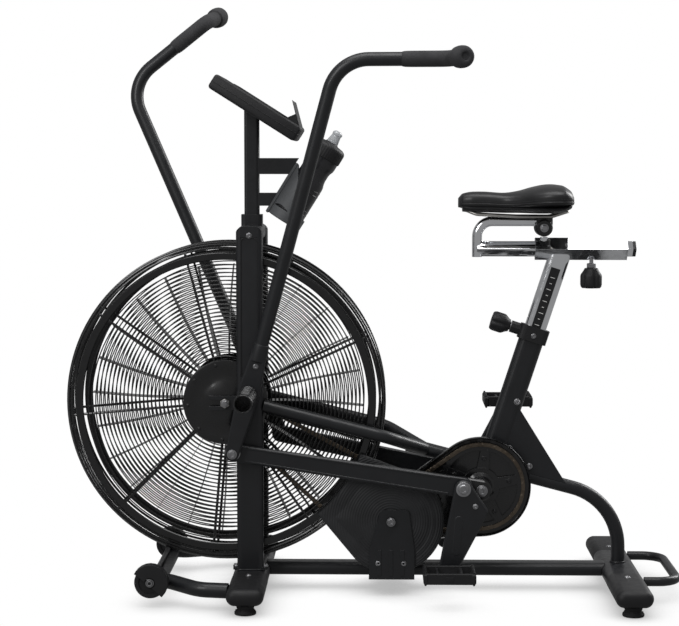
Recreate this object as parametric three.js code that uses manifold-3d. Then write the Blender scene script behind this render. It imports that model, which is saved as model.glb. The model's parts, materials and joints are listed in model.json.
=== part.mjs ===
// Air bike: a fan exercise bike with swinging handle levers, built as separate bodies.
// Millimetres. +Z is up, +X points to the rear where the rider sits, -Y is the rider's left.
// The origin is on the floor, under the middle of the bike.
import * as THREE from 'three';
import { mergeVertices } from 'three/addons/utils/BufferGeometryUtils.js';
import Module from 'manifold-3d';

const wasm = await Module();
wasm.setup();

// ---------- driving dimensions ----------
const GAP = 0.3;                          // air left between two pieces that touch
const LENGTH = 1279;                      // front of the fan cage to the rear lift handle
const WIDTH = 593;                        // over the ends of the two handle grips
const CAGE_RADIUS = 333;
const CAGE_HALF_DEPTH = 68;
const FAN = { x: -LENGTH / 2 + CAGE_RADIUS, z: 403 };
const POST = { x: -254, y: 85, depth: 55, width: 28, top: 770 };
const PIVOT = { x: POST.x, z: 429 };      // the axis that both handle levers swing on
const CRANK = { x: 226, z: 223 };         // the bottom bracket axis
const JACK = { x: 38, z: 158 };           // the idler shaft between the two chains
const STAB = { front: POST.x, rear: 520, z: 38.5, width: 75, height: 35, steel: 115, half: 280 };
const FOOT_Y = 245;
const RAIL = { z: 42, width: 50, height: 28 };
const SEAT_LEAN = THREE.MathUtils.degToRad(18);
const SEAT_TOP = { x: 387.8, z: 698 };    // where the seat post meets its carriage
const CARRIAGE_Z = 720;
const LEFT_LEAN = THREE.MathUtils.degToRad(15.2);
const RIGHT_LEAN = THREE.MathUtils.degToRad(-23.8);
const LEVER_ARM = 128.5;                  // pivot axis to the drive rod's pin
const CRANK_LEAN = THREE.MathUtils.degToRad(24.6);
const CRANK_LENGTH = 170;
const THROW = 41.5;                       // crank axis to the drive rod's crankpin
const PIN_LEAD = THREE.MathUtils.degToRad(189.3);   // crankpin's direction in the crank's own frame
const CHAIN_PITCH = 12.7;
const TEETH = { chainring: 44, jackSmall: 16, jackLarge: 40, fan: 14 };
const CRANK_CHAIN_Y = -40;
const FAN_CHAIN_Y = -56.5;
const ROD = { inner: 103, outer: 119, front: 17.5, rear: 20.5 };
const LEVER_Y = { inner: 122, outer: 145 };
const CONSOLE = { x: -241.5, z: 1012, length: 207, thick: 33, lean: THREE.MathUtils.degToRad(32.3), width: 200 };

const pitchRadius = (teeth) => CHAIN_PITCH / (2 * Math.sin(Math.PI / teeth));
const at = (x, y, z) => new THREE.Vector3(x, y, z);

// ---------- solids ----------
function solidOf(geometry) {
  const bare = geometry.index ? geometry : mergeVertices(geometry.clone());
  const work = bare.clone();
  for (const name of Object.keys(work.attributes)) {
    if (name !== 'position') work.deleteAttribute(name);
  }
  const merged = mergeVertices(work, 1e-4);
  const index = merged.index.array;
  const triangles = [];
  for (let i = 0; i < index.length; i += 3) {
    const [a, b, c] = [index[i], index[i + 1], index[i + 2]];
    if (a !== b && b !== c && a !== c) triangles.push(a, b, c);
  }
  return new wasm.Manifold(new wasm.Mesh({
    numProp: 3,
    vertProperties: Float32Array.from(merged.attributes.position.array),
    triVerts: Uint32Array.from(triangles),
  }));
}

function geometryOf(solid) {
  const mesh = solid.getMesh();
  const geometry = new THREE.BufferGeometry();
  geometry.setAttribute('position', new THREE.BufferAttribute(mesh.vertProperties, 3));
  geometry.setIndex(new THREE.BufferAttribute(mesh.triVerts, 1));
  return geometry;
}

const join = (...solids) => solids.reduce((all, next) => all.add(next));
const cut = (base, ...tools) => tools.reduce((rest, tool) => rest.subtract(tool), base);

function block(x0, x1, y0, y1, z0, z1) {
  const box = new THREE.BoxGeometry(x1 - x0, y1 - y0, z1 - z0);
  return solidOf(box.translate((x0 + x1) / 2, (y0 + y1) / 2, (z0 + z1) / 2));
}

function bar(start, end, radius, sides = 24, endRadius = radius) {
  const along = end.clone().sub(start);
  const cylinder = new THREE.CylinderGeometry(endRadius, radius, along.length(), sides);
  const turn = new THREE.Quaternion().setFromUnitVectors(at(0, 1, 0), along.clone().normalize());
  const middle = start.clone().add(end).multiplyScalar(0.5);
  return solidOf(cylinder.applyQuaternion(turn).translate(middle.x, middle.y, middle.z));
}

const barY = (x, z, y0, y1, radius, sides) =>
  bar(at(x, Math.min(y0, y1), z), at(x, Math.max(y0, y1), z), radius, sides);

// An outline drawn in X and Z, given a thickness between y0 and y1.
function plateY(outline, y0, y1, curveSegments = 8) {
  const [near, far] = [Math.min(y0, y1), Math.max(y0, y1)];
  const options = { depth: far - near, bevelEnabled: false, curveSegments };
  const plate = new THREE.ExtrudeGeometry(outline, options);
  return solidOf(plate.rotateX(Math.PI / 2).translate(0, far, 0));
}

// An outline drawn in X and Y, standing between z0 and z1.
function columnZ(outline, z0, z1, curveSegments = 4) {
  const options = { depth: z1 - z0, bevelEnabled: false, curveSegments };
  return solidOf(new THREE.ExtrudeGeometry(outline, options).translate(0, 0, z0));
}

// A lathe profile of [radius, height] pairs turned about Z.
function turned(profile, segments = 32) {
  const points = profile.map(([radius, height]) => new THREE.Vector2(radius, height));
  return solidOf(new THREE.LatheGeometry(points, segments).rotateX(Math.PI / 2));
}

function roundedBox(width, height, radius, cx = 0, cy = 0) {
  const [x, y] = [width / 2 - radius, height / 2 - radius];
  const shape = new THREE.Shape();
  shape.absarc(cx + x, cy + y, radius, 0, Math.PI / 2);
  shape.absarc(cx - x, cy + y, radius, Math.PI / 2, Math.PI);
  shape.absarc(cx - x, cy - y, radius, Math.PI, 1.5 * Math.PI);
  shape.absarc(cx + x, cy - y, radius, 1.5 * Math.PI, 2 * Math.PI);
  return shape;
}

const obround = (width, height, cx = 0, cy = 0) => roundedBox(width, height, height / 2, cx, cy);

function disc(x, y, radius, sides = 32) {
  const points = [];
  for (let i = 0; i < sides; i++) {
    const turn = (2 * Math.PI * i) / sides;
    points.push(new THREE.Vector2(x + radius * Math.cos(turn), y + radius * Math.sin(turn)));
  }
  return new THREE.Shape(points);
}

// The outline that a string pulled tight around several circles [x, y, radius] would take.
function hull(circles, sides = 24) {
  const cloud = circles.flatMap(([x, y, radius]) => disc(x, y, radius, sides).getPoints());
  cloud.sort((a, b) => a.x - b.x || a.y - b.y);
  const turnOf = (o, a, b) => (a.x - o.x) * (b.y - o.y) - (a.y - o.y) * (b.x - o.x);
  const half = (points) => {
    const chain = [];
    for (const p of points) {
      while (chain.length > 1 && turnOf(chain.at(-2), chain.at(-1), p) <= 1e-6) chain.pop();
      chain.push(p);
    }
    return chain.slice(0, -1);
  };
  return new THREE.Shape([...half(cloud), ...half(cloud.slice().reverse())]);
}

// A route of straight runs with round corners, sampled only where it bends.
class Route extends THREE.Curve {
  constructor(corners, radius, steps = 6) {
    super();
    this.points = [corners[0]];
    for (let i = 1; i < corners.length - 1; i++) {
      const before = corners[i - 1].clone().sub(corners[i]).normalize();
      const after = corners[i + 1].clone().sub(corners[i]).normalize();
      const half = before.angleTo(after) / 2;
      const reach = (Array.isArray(radius) ? radius[i - 1] : radius) / Math.tan(half);
      const from = corners[i].clone().addScaledVector(before, reach);
      const middle = before.clone().add(after).normalize();
      const centre = corners[i].clone().addScaledVector(middle, reach / Math.cos(half));
      const spoke = from.clone().sub(centre);
      const axis = spoke.clone().cross(before.clone().negate()).normalize();
      for (let k = 0; k <= steps; k++) {
        const turn = ((Math.PI - 2 * half) * k) / steps;
        this.points.push(centre.clone().add(spoke.clone().applyAxisAngle(axis, turn)));
      }
    }
    this.points.push(corners.at(-1));
  }

  getSpacedPoints() {
    return this.points;
  }

  getPoint(t) {
    return this.points[Math.round(t * (this.points.length - 1))].clone();
  }

  getTangentAt(u) {
    const i = Math.round(u * (this.points.length - 1));
    const unit = (a, b) => this.points[b].clone().sub(this.points[a]).normalize();
    const ahead = i < this.points.length - 1 ? unit(i, i + 1) : unit(i - 1, i);
    const behind = i > 0 ? unit(i - 1, i) : ahead;
    return ahead.clone().add(behind).normalize();
  }
}

function pipe(corners, bendRadius, tubeRadius, sides = 14, bendSteps = 6) {
  const route = new Route(corners, bendRadius, bendSteps);
  const options = { extrudePath: route, steps: route.points.length - 1, curveSegments: 1 };
  return solidOf(new THREE.ExtrudeGeometry(disc(0, 0, tubeRadius, sides), options));
}

// A body through cross-sections, each a list of points, closed at both ends.
function loft(sections) {
  const count = sections[0].length;
  const points = [...sections.flat()];
  const index = [];
  for (let s = 0; s < sections.length - 1; s++) {
    for (let i = 0; i < count; i++) {
      const [a, b] = [s * count + i, s * count + ((i + 1) % count)];
      index.push(a, b, b + count, a, b + count, a + count);
    }
  }
  const cap = (first, flip) => {
    const middle = points.length;
    const ring = points.slice(first, first + count);
    points.push(ring.reduce((sum, p) => sum.add(p), at(0, 0, 0)).divideScalar(count));
    for (let i = 0; i < count; i++) {
      const [a, b] = [first + i, first + ((i + 1) % count)];
      index.push(...(flip ? [middle, b, a] : [middle, a, b]));
    }
  };
  cap(0, true);
  cap((sections.length - 1) * count, false);
  const geometry = new THREE.BufferGeometry().setFromPoints(points);
  geometry.setIndex(index);
  return solidOf(geometry);
}

// ---------- materials ----------
const paint = (color, roughness, metalness) =>
  new THREE.MeshStandardMaterial({ color, roughness, metalness });
const MATERIAL = {
  frame: paint(0x26272a, 0.5, 0.4),
  gloss: paint(0x141416, 0.3, 0.5),
  plastic: paint(0x2b2c2f, 0.6, 0),
  cover: paint(0x303134, 0.65, 0),
  rubber: paint(0x18181a, 0.85, 0),
  chrome: paint(0xd6d8dc, 0.12, 1),
  steel: paint(0x9a9ca0, 0.35, 1),
  chain: paint(0x5a5148, 0.45, 1),
  foam: paint(0x333438, 0.8, 0),
  leather: paint(0x1c1c1e, 0.55, 0),
  bottle: paint(0x1a1b1d, 0.35, 0),
};

const bike = new THREE.Group();

function piece(name, solid, material, parent = bike) {
  const mesh = new THREE.Mesh(geometryOf(solid), material);
  mesh.name = name;
  parent.add(mesh);
  return mesh;
}

function frameAt(x, z, lean = 0) {
  const group = new THREE.Group();
  group.position.set(x, 0, z);
  group.rotation.y = lean;
  bike.add(group);
  return group;
}

const SIDES = [['left', -1], ['right', 1]];

// ---------- base: two floor bars, their caps and feet, the rail, wheels and lift handle ----------
function stabilizer(x) {
  const { z, width, height, steel } = STAB;
  const body = plateY(obround(width, height, x, z), -steel, steel, 4);
  const spigot = plateY(roundedBox(width - 9, height - 9, 7, x, z), -steel - 40, steel + 40, 1);
  return join(body, spigot);
}

function endCap(x, side) {
  const { z, width, height, steel, half } = STAB;
  const rings = [[steel + GAP, 0], [half - 12, 0], [half, 8]].map(([y, inset]) => {
    const outline = hull([[x - (width - height) / 2, z, height / 2 - inset], [x + (width - height) / 2, z,
      height / 2 - inset]], 14);
    return outline.getPoints().map((p) => at(p.x, side * y, p.y));
  });
  const body = loft(side > 0 ? rings.map((ring) => ring.reverse()) : rings);
  const socket = plateY(roundedBox(width - 8.2, height - 8.2, 7, x, z), side * steel, side * (steel + 41), 1);
  const thread = bar(at(x, side * FOOT_Y, 0), at(x, side * FOOT_Y, z), 6.8, 8);
  return cut(body, socket, thread);
}

const foot = () => turned([[0, 0], [22, 0], [22, 5], [17, 11], [18.5, 14], [18.5, 20.5], [6, 20.5], [6, 34],
  [0, 34]], 14);

function lowerRail() {
  const reach = STAB.width / 2;
  const [from, to] = [STAB.front + reach - 8, STAB.rear - reach + 8];
  const options = { depth: to - from, bevelEnabled: false, curveSegments: 3 };
  const section = obround(RAIL.width, RAIL.height, 0, 0);
  const tube = new THREE.ExtrudeGeometry(section, options);
  tube.rotateX(Math.PI / 2).rotateZ(Math.PI / 2).translate(from, 0, RAIL.z);
  const bars = [STAB.front, STAB.rear].map((x) =>
    plateY(obround(STAB.width + 2 * GAP, STAB.height + 2 * GAP, x, STAB.z), -60, 60, 3));
  return cut(solidOf(tube), ...bars);
}

const WHEEL = { x: -451, y: 188, z: 51, radius: 32.5, width: 22 };

function wheelBracket() {
  const front = STAB.front - STAB.width / 2;
  const arms = SIDES.map(([, side]) =>
    pipe([at(front + 10, side * 205, 37), at(front - 60, side * 198, 38), at(-414, side * 150, 43),
      at(-436, side * 145, 45)], [70, 30], 15.5, 8, 2));
  const crossbar = block(-452, -426, -150, 150, 36, 46);
  const axle = barY(WHEEL.x, WHEEL.z, -WHEEL.y - 15.5, WHEEL.y + 15.5, 5, 8);
  const lugs = SIDES.map(([, side]) =>
    plateY(hull([[WHEEL.x, WHEEL.z, 10], [-430, 44, 9]], 10), side * 150, side * 173));
  const stabilizerBar = plateY(obround(STAB.width + 2 * GAP, STAB.height + 2 * GAP, STAB.front, STAB.z),
    -STAB.half, STAB.half, 3);
  return cut(join(crossbar, axle, ...arms, ...lugs), stabilizerBar);
}

function wheel(side) {
  const [inner, outer] = [side * (WHEEL.y - WHEEL.width / 2), side * (WHEEL.y + WHEEL.width / 2)];
  const tyre = barY(WHEEL.x, WHEEL.z, inner, outer, WHEEL.radius, 24);
  const recess = barY(WHEEL.x, WHEEL.z, outer - side * 4, outer + side, 23, 16);
  const hub = barY(WHEEL.x, WHEEL.z, outer - side * 4.5, outer, 9, 12);
  const bore = barY(WHEEL.x, WHEEL.z, inner - side, outer + side, 5.5, 12);
  return cut(join(cut(tyre, recess), hub), bore);
}

// The hood covers the rear and top of each transport wheel and stops short on its front.
function wheelHood(side) {
  const face = WHEEL.y + WHEEL.width / 2 + 1.5;
  const shell = barY(WHEEL.x, WHEEL.z, side * (face - 22), side * (face + 2.5), 37, 24);
  const inside = barY(WHEEL.x, WHEEL.z, side * (face - 23), side * face, 34.5, 24);
  const wedge = new THREE.Shape([[0, -6], [-60, 42], [-60, -60], [32, -60], [26, -30]].map(([x, z]) =>
    new THREE.Vector2(WHEEL.x + x, WHEEL.z + z)));
  const opening = plateY(wedge, side * (face - 30), side * (face + 10));
  const hubHole = barY(WHEEL.x, WHEEL.z, side * (face - 30), side * (face + 10), 11, 12);
  return cut(shell, inside, opening, hubHole);
}

function rearHandle() {
  const tubeRadius = 9.5;
  const back = LENGTH / 2 - tubeRadius;
  const start = STAB.rear + STAB.width / 2 + GAP;
  const [y, z] = [125, 42];
  return pipe([at(start, -y, z), at(back, -y, z), at(back, y, z), at(start, y, z)], 44, tubeRadius, 10, 4);
}

for (const [end, x] of [['front', STAB.front], ['rear', STAB.rear]]) {
  piece(`${end}_stabilizer`, stabilizer(x), MATERIAL.frame);
  for (const [name, side] of SIDES) {
    piece(`${end}_${name}_end_cap`, endCap(x, side), MATERIAL.plastic);
    piece(`${end}_${name}_foot`, foot(), MATERIAL.rubber).position.set(x, side * FOOT_Y, 0);
  }
}
piece('lower_rail', lowerRail(), MATERIAL.frame);
piece('wheel_bracket', wheelBracket(), MATERIAL.frame);
for (const [name, side] of SIDES) {
  piece(`${name}_wheel`, wheel(side), MATERIAL.rubber);
  piece(`${name}_wheel_hood`, wheelHood(side), MATERIAL.plastic);
}
piece('rear_handle', rearHandle(), MATERIAL.frame);

// ---------- upright frame ----------
const JOURNAL = 12.7;                     // radius of the lever's bearing journal
const AXLE_PLATE = { z0: 388, z1: 418, y0: 72.5, y1: 79 };
const STAB_TOP = STAB.z + STAB.height / 2;

function post(side) {
  const { x, y, depth, width, top } = POST;
  const column = columnZ(roundedBox(depth, width, 9, x, side * y), STAB_TOP + GAP, top, 2);
  const shoulders = new THREE.Shape();
  shoulders.moveTo(x - depth / 2 - 1, 0);
  shoulders.lineTo(x + depth / 2 + 1, 0);
  shoulders.absarc(x + depth / 2 - 17, top - 18, 18, 0, Math.PI / 2);
  shoulders.absarc(x - depth / 2 + 17, top - 18, 18, Math.PI / 2, Math.PI);
  const outline = plateY(shoulders, side * (y - 20), side * (y + 20), 4);
  const flange = columnZ(roundedBox(72, 26, 6, x, side * y), STAB_TOP + GAP, STAB_TOP + 6, 1);
  const outer = side * (y + width / 2);
  const recess = block(x - 18, x + 18, Math.min(outer, outer - side * 1.2), Math.max(outer, outer - side * 1.2),
    458, 748);
  const { z0, z1, y0, y1 } = AXLE_PLATE;
  const [near, far] = [Math.min(side * y0, side * y1), Math.max(side * y0, side * y1)];
  const plate = block(FAN.x - 34, x - depth / 2 + 6, near, far, z0, z1);
  const slot = join(barY(FAN.x, FAN.z, near - 1, far + 1, 6.8, 10),
    block(FAN.x - 40, FAN.x, near - 1, far + 1, FAN.z - 6.8, FAN.z + 6.8));
  const bore = barY(PIVOT.x, PIVOT.z, side * 60, side * 110, JOURNAL + 0.6, 16);
  return cut(join(column.intersect(outline), flange, plate), slot, bore, recess);
}

function mastHead() {
  const reach = POST.y - POST.width / 2 - GAP;
  const beam = plateY(roundedBox(48, 30, 8, POST.x, 754.5), -reach, reach, 2);
  const collar = columnZ(roundedBox(44, 44, 8, POST.x, 0), 739.5, 792, 2);
  const socket = columnZ(roundedBox(32.2, 32.2, 6, POST.x, 0), 730, 800, 2);
  return cut(join(beam, collar), socket);
}

// The console's square tube, cut to the console's slope, with the two flat arms of the bottle holder.
function consoleMast() {
  const tube = columnZ(roundedBox(31, 31, 6, POST.x, 0), 741, 1020, 2);
  const slope = Math.tan(CONSOLE.lean);
  const under = CONSOLE.z - CONSOLE.thick / 2 / Math.cos(CONSOLE.lean) - GAP;
  const overhead = [[-80, under + 80 * slope], [80, under - 80 * slope], [80, 1100], [-80, 1100]];
  const above = plateY(new THREE.Shape(overhead.map(([x, z]) => new THREE.Vector2(CONSOLE.x + x, z))), -20, 20);
  const arm = (low, high, lowEnd, highEnd) => {
    const outline = [[POST.x, low], [lowEnd, low], [highEnd, high], [POST.x, high]];
    return plateY(new THREE.Shape(outline.map(([x, z]) => new THREE.Vector2(x, z))), -14, 14);
  };
  return join(cut(tube, above), arm(876, 909.5, -176.6, -155.7), arm(810, 837, -217.8, -201));
}

// A lever stub: a journal through the post and a hollow foot peg outside the lever.
function footPeg(side) {
  const journal = barY(PIVOT.x, PIVOT.z, side * 72, side * 148, JOURNAL, 16);
  const peg = barY(PIVOT.x, PIVOT.z, side * (LEVER_Y.outer + 1.5), side * 292, 19, 16);
  const hollow = barY(PIVOT.x, PIVOT.z, side * 152, side * 293, 15.5, 14);
  return cut(join(journal, peg), hollow);
}

const MAIN = { radius: 14.5, start: at(72, 0, 306.3), knee: at(519.5, 0, 189.3), end: at(519.5, 0, STAB_TOP) };

function mainTubeSolid(grow = 0) {
  const end = MAIN.end.clone().setZ(MAIN.end.z + GAP);
  return pipe([MAIN.start, MAIN.knee, end], 129.6, MAIN.radius + grow, 14, 6);
}

function sideTube(side) {
  const postFace = POST.x + POST.depth / 2 + GAP;
  const start = at(postFace - 20, side * 87, 402.4);
  const bend = at(26, side * 87, 334.5);
  const end = at(112, side * 4, 296);
  const tube = pipe([start, bend, end], 60, 13, 12, 4);
  const otherSide = block(0, 200, side < 0 ? GAP / 2 : -60, side < 0 ? 60 : -GAP / 2, 200, 400);
  const inPost = block(postFace - 60, postFace, -120, 120, 360, 440);
  return cut(tube, mainTubeSolid(GAP), otherSide, inPost);
}

const SEAT_AXIS = at(Math.sin(SEAT_LEAN), 0, Math.cos(SEAT_LEAN));
const out = at(-SEAT_AXIS.z, 0, SEAT_AXIS.x);   // square to the post, towards the rider's knees
const alongSeat = (distance) => at(SEAT_TOP.x, 0, SEAT_TOP.z).addScaledVector(SEAT_AXIS, -distance);
const SEAT = { width: 46, thick: 25, tube: 53, tubeThick: 32, collarTop: 150, collar: 31, bottom: 450 };

function seatColumn(outline, from, to, curveSegments = 5) {
  const low = alongSeat(to);
  const column = columnZ(outline, 0, to - from, curveSegments);
  const geometry = geometryOf(column).rotateY(SEAT_LEAN).translate(low.x, low.y, low.z);
  return solidOf(geometry);
}

function seatTube() {
  const { tube, tubeThick, width, thick, collarTop, collar, bottom } = SEAT;
  const top = collarTop + collar - 8;
  const sleeve = seatColumn(obround(tube, tubeThick), top, bottom, 3);
  const bore = seatColumn(obround(width + 1.6, thick + 1.6), top - 5, 420, 3);
  const gusset = new THREE.Shape([[286, 398], [306, 388], [408, 224], [404, 219.5], [252, 259]].map(([x, z]) =>
    new THREE.Vector2(x, z)));
  const below = new THREE.Shape([[150, 286], [450, 207.5], [450, 100], [150, 100]].map(([x, z]) =>
    new THREE.Vector2(x, z)));
  const waste = plateY(below, -40, 40);
  return cut(join(sleeve, plateY(gusset, -13, 13)), bore, mainTubeSolid(GAP), waste);
}

// The moulded collar that guides the post, with the threaded boss for its pull pin.
function seatCollar() {
  const { tube, tubeThick, width, thick, collarTop, collar } = SEAT;
  const ring = seatColumn(roundedBox(tube + 9, tubeThick + 9, 12), collarTop, collarTop + collar, 2);
  const over = seatColumn(obround(tube + 2 * GAP, tubeThick + 2 * GAP), collarTop + collar - 8 - GAP,
    collarTop + collar + 5, 3);
  const bore = seatColumn(obround(width + 1.2, thick + 1.2), collarTop - 5, collarTop + collar + 5, 3);
  const middle = alongSeat(collarTop + 14);
  const boss = bar(middle.clone().addScaledVector(out, 26), middle.clone().addScaledVector(out, 50), 13, 10);
  const pinHole = bar(middle, middle.clone().addScaledVector(out, 55), 5.5, 8);
  return cut(join(ring, boss), over, bore, pinHole);
}

function bottomBracket() {
  const shell = barY(CRANK.x, CRANK.z, -34, 34, 21, 18);
  const web = plateY(hull([[CRANK.x, CRANK.z, 14], [CRANK.x - 40, 276, 4], [CRANK.x + 45, 254, 4]], 8), -12, 12);
  const bore = barY(CRANK.x, CRANK.z, -35, 35, 13, 14);
  return cut(join(shell, web), bore, mainTubeSolid(GAP), seatTubeEnvelope);
}

const seatTubeEnvelope = seatColumn(obround(SEAT.tube + 1, SEAT.tubeThick + 1), 400, SEAT.bottom + 2);

for (const [name, side] of SIDES) {
  piece(`${name}_post`, post(side), MATERIAL.frame);
  piece(`${name}_foot_peg`, footPeg(side), MATERIAL.gloss);
  piece(`${name}_side_tube`, sideTube(side), MATERIAL.frame);
}
piece('mast_head', mastHead(), MATERIAL.frame);
piece('console_mast', consoleMast(), MATERIAL.frame);
piece('main_tube', mainTubeSolid(), MATERIAL.frame);
piece('seat_tube', seatTube(), MATERIAL.frame);
piece('seat_collar', seatCollar(), MATERIAL.plastic);
piece('bottom_bracket', bottomBracket(), MATERIAL.frame);

// ---------- fan, cage and axle ----------
const CAGE = { plate: 88, ring: 190, band: 298, edge: 313, wire: 5, radials: 9 };
const RADIAL_START = THREE.MathUtils.degToRad(25);
const RADIAL_STEP = (2 * Math.PI) / CAGE.radials;

// The opening between two radial wires, from one ring out to the next.
function cageWindow(index, inner, outer, innerSteps) {
  const arc = (radius, steps) => {
    const edge = Math.asin(CAGE.wire / 2 / radius);
    const from = RADIAL_START + index * RADIAL_STEP + edge;
    return Array.from({ length: steps + 1 }, (_, k) => {
      const turn = from + ((RADIAL_STEP - 2 * edge) * k) / steps;
      return new THREE.Vector2(FAN.x + radius * Math.cos(turn), FAN.z + radius * Math.sin(turn));
    });
  };
  return new THREE.Path([...arc(outer, 3), ...arc(inner, innerSteps).reverse()]);
}

// One half of the cage: a flat face of plate, ring, band and radials, a rim, and the wires folded over to it.
function fanCage(side) {
  const face = disc(FAN.x, FAN.z, CAGE.edge, 36);
  const half = CAGE.wire / 2;
  for (let i = 0; i < CAGE.radials; i++) {
    face.holes.push(cageWindow(i, CAGE.plate, CAGE.ring - half, 2), cageWindow(i, CAGE.ring + half, CAGE.band, 3));
  }
  face.holes.push(new THREE.Path(disc(FAN.x, FAN.z, 8, 10).getPoints()));
  const front = plateY(face, side * (CAGE_HALF_DEPTH - 5), side * CAGE_HALF_DEPTH);
  const torus = new THREE.TorusGeometry(CAGE_RADIUS - 3.6, 3.6, 3, 36);
  const rim = solidOf(torus.rotateX(Math.PI / 2).translate(FAN.x, side * 5.2, FAN.z));
  const folds = Array.from({ length: CAGE.radials }, (_, i) => {
    const turn = RADIAL_START + i * RADIAL_STEP;
    const spot = (radius, y) =>
      at(FAN.x + radius * Math.cos(turn), side * y, FAN.z + radius * Math.sin(turn));
    return bar(spot(309, 65.5), spot(329.4, 5.2), 3, 4);
  });
  return join(front, rim, ...folds);
}

function fanAxle() {
  const rod = barY(FAN.x, FAN.z, -90, 90, 6.2, 10);
  const nuts = SIDES.map(([, side]) => barY(FAN.x, FAN.z, side * 79.4, side * 87, 10, 6));
  return join(rod, ...nuts);
}

const BLADES = 12;

// Narrow paddles on a thin centre plate, so that the fan is see-through from the side.
function fanWheel() {
  const hub = barY(FAN.x, FAN.z, -61, 52, 22, 12);
  const plate = barY(FAN.x, FAN.z, -1.5, 1.5, 84, BLADES);
  const blades = Array.from({ length: BLADES }, (_, i) => {
    const blade = new THREE.BoxGeometry(208, 40, 1.6).translate(184, 0, 0);
    blade.rotateY((-2 * Math.PI * i) / BLADES).translate(FAN.x, 0, FAN.z);
    return solidOf(blade);
  });
  const bore = barY(FAN.x, FAN.z, -70, 60, 7.4, 10);
  return cut(join(hub, plate, ...blades, sprocket(FAN, TEETH.fan, FAN_CHAIN_Y)), bore);
}

// ---------- chain drive ----------
const TOOTH = [[0, -3.4], [0.5, 1.7]];

function sprocket(centre, teeth, y) {
  const pitch = pitchRadius(teeth);
  const points = [];
  for (let i = 0; i < teeth; i++) {
    for (const [share, height] of TOOTH) {
      const radius = pitch + height;
      const turn = (2 * Math.PI * (i + share)) / teeth;
      points.push(new THREE.Vector2(centre.x + radius * Math.cos(turn), centre.z + radius * Math.sin(turn)));
    }
  }
  return plateY(new THREE.Shape(points), y - 1.2, y + 1.2);
}

// A chain's loop round two sprockets: side plates with a channel between them for the teeth.
function chainLoop(a, b, teethA, teethB, y) {
  const loop = (grow, half) => plateY(hull([
    [a.x, a.z, pitchRadius(teethA) + grow], [b.x, b.z, pitchRadius(teethB) + grow]], 18), y - half, y + half);
  return cut(loop(4.6, 4), loop(-4, 5), loop(3.4, 1.9));
}

function jackshaft() {
  const shaft = barY(JACK.x, JACK.z, -88, 88, 7.5, 10);
  const heads = SIDES.map(([, side]) => barY(JACK.x, JACK.z, side * 93, side * 98, 9.5, 6));
  const stubs = barY(JACK.x, JACK.z, -94, 94, 6, 10);
  const spacer = barY(JACK.x, JACK.z, -64, -30, 16, 12);
  return join(shaft, stubs, spacer, ...heads, sprocket(JACK, TEETH.jackSmall, CRANK_CHAIN_Y),
    sprocket(JACK, TEETH.jackLarge, FAN_CHAIN_Y));
}

function jackshaftBracket(side) {
  const [outer, inner] = [side * 92, side * 88.6];
  const outline = new THREE.Shape();
  outline.moveTo(JACK.x - 46, 36);
  outline.lineTo(JACK.x + 49, 36);
  outline.lineTo(JACK.x + 49, 96);
  outline.lineTo(JACK.x + 38, 174);
  outline.quadraticCurveTo(JACK.x + 37, 182, JACK.x + 29, 182);
  outline.lineTo(JACK.x - 14, 182);
  outline.quadraticCurveTo(JACK.x - 21, 182, JACK.x - 23, 174);
  outline.lineTo(JACK.x - 44, 96);
  const plate = plateY(outline, outer, inner, 4);
  const ribs = [-24, 0, 24].map((dx) =>
    block(JACK.x + dx - 4, JACK.x + dx + 4, ...[outer - side, outer + side * 1.4].sort((a, b) => a - b), 44, 98));
  const crossY = [side * 90, side * (RAIL.width / 2 - 5)].sort((a, b) => a - b);
  const cross = block(JACK.x - 44, JACK.x + 47, ...crossY, 36, 47);
  const rail = block(-100, 200, -RAIL.width / 2 - GAP, RAIL.width / 2 + GAP, 20, 70);
  return cut(join(plate, cross, ...ribs), rail, barY(JACK.x, JACK.z, side * 80, side * 99, 6.8, 10));
}

// The dish behind the crank chain: a back wall with a shallow rim, open towards the rider's foot.
function crankChainGuard() {
  const outline = (grow) => hull([[CRANK.x, CRANK.z, 105 + grow], [JACK.x, JACK.z, 50 + grow]], 28);
  const dish = cut(plateY(outline(0), -48, -33.4), plateY(outline(-2.5), -49, -35.6));
  const window = barY(CRANK.x, CRANK.z, -60, -20, 30, 18);
  const shaft = barY(JACK.x, JACK.z, -60, -20, 20, 14);
  const lug = plateY(hull([[CRANK.x, CRANK.z, 46], [CRANK.x - 30, 262, 6]], 16), -35.6, -33.4);
  return cut(join(dish, lug), window, shaft);
}

function fanChainCover() {
  const body = (grow, y0, y1) => cut(
    plateY(hull([[JACK.x, JACK.z, 110 + grow], [FAN.x, FAN.z, 78 + grow]], 32), y0, y1),
    barY(FAN.x, FAN.z, y0 - 1, y1 + 1, 300 - grow, 48));
  const raised = cut(
    plateY(hull([[JACK.x, JACK.z, 81], [FAN.x, FAN.z, 49]], 24), -88.3, -84),
    barY(FAN.x, FAN.z, -90, -80, 312, 48));
  const shell = cut(body(0, -86, -70), body(-2.5, -83.5, -69));
  const hole = barY(JACK.x, JACK.z, -95, -60, 12, 14);
  return cut(join(shell, raised), body(-2.5, -83.5, -69), hole);
}

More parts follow.
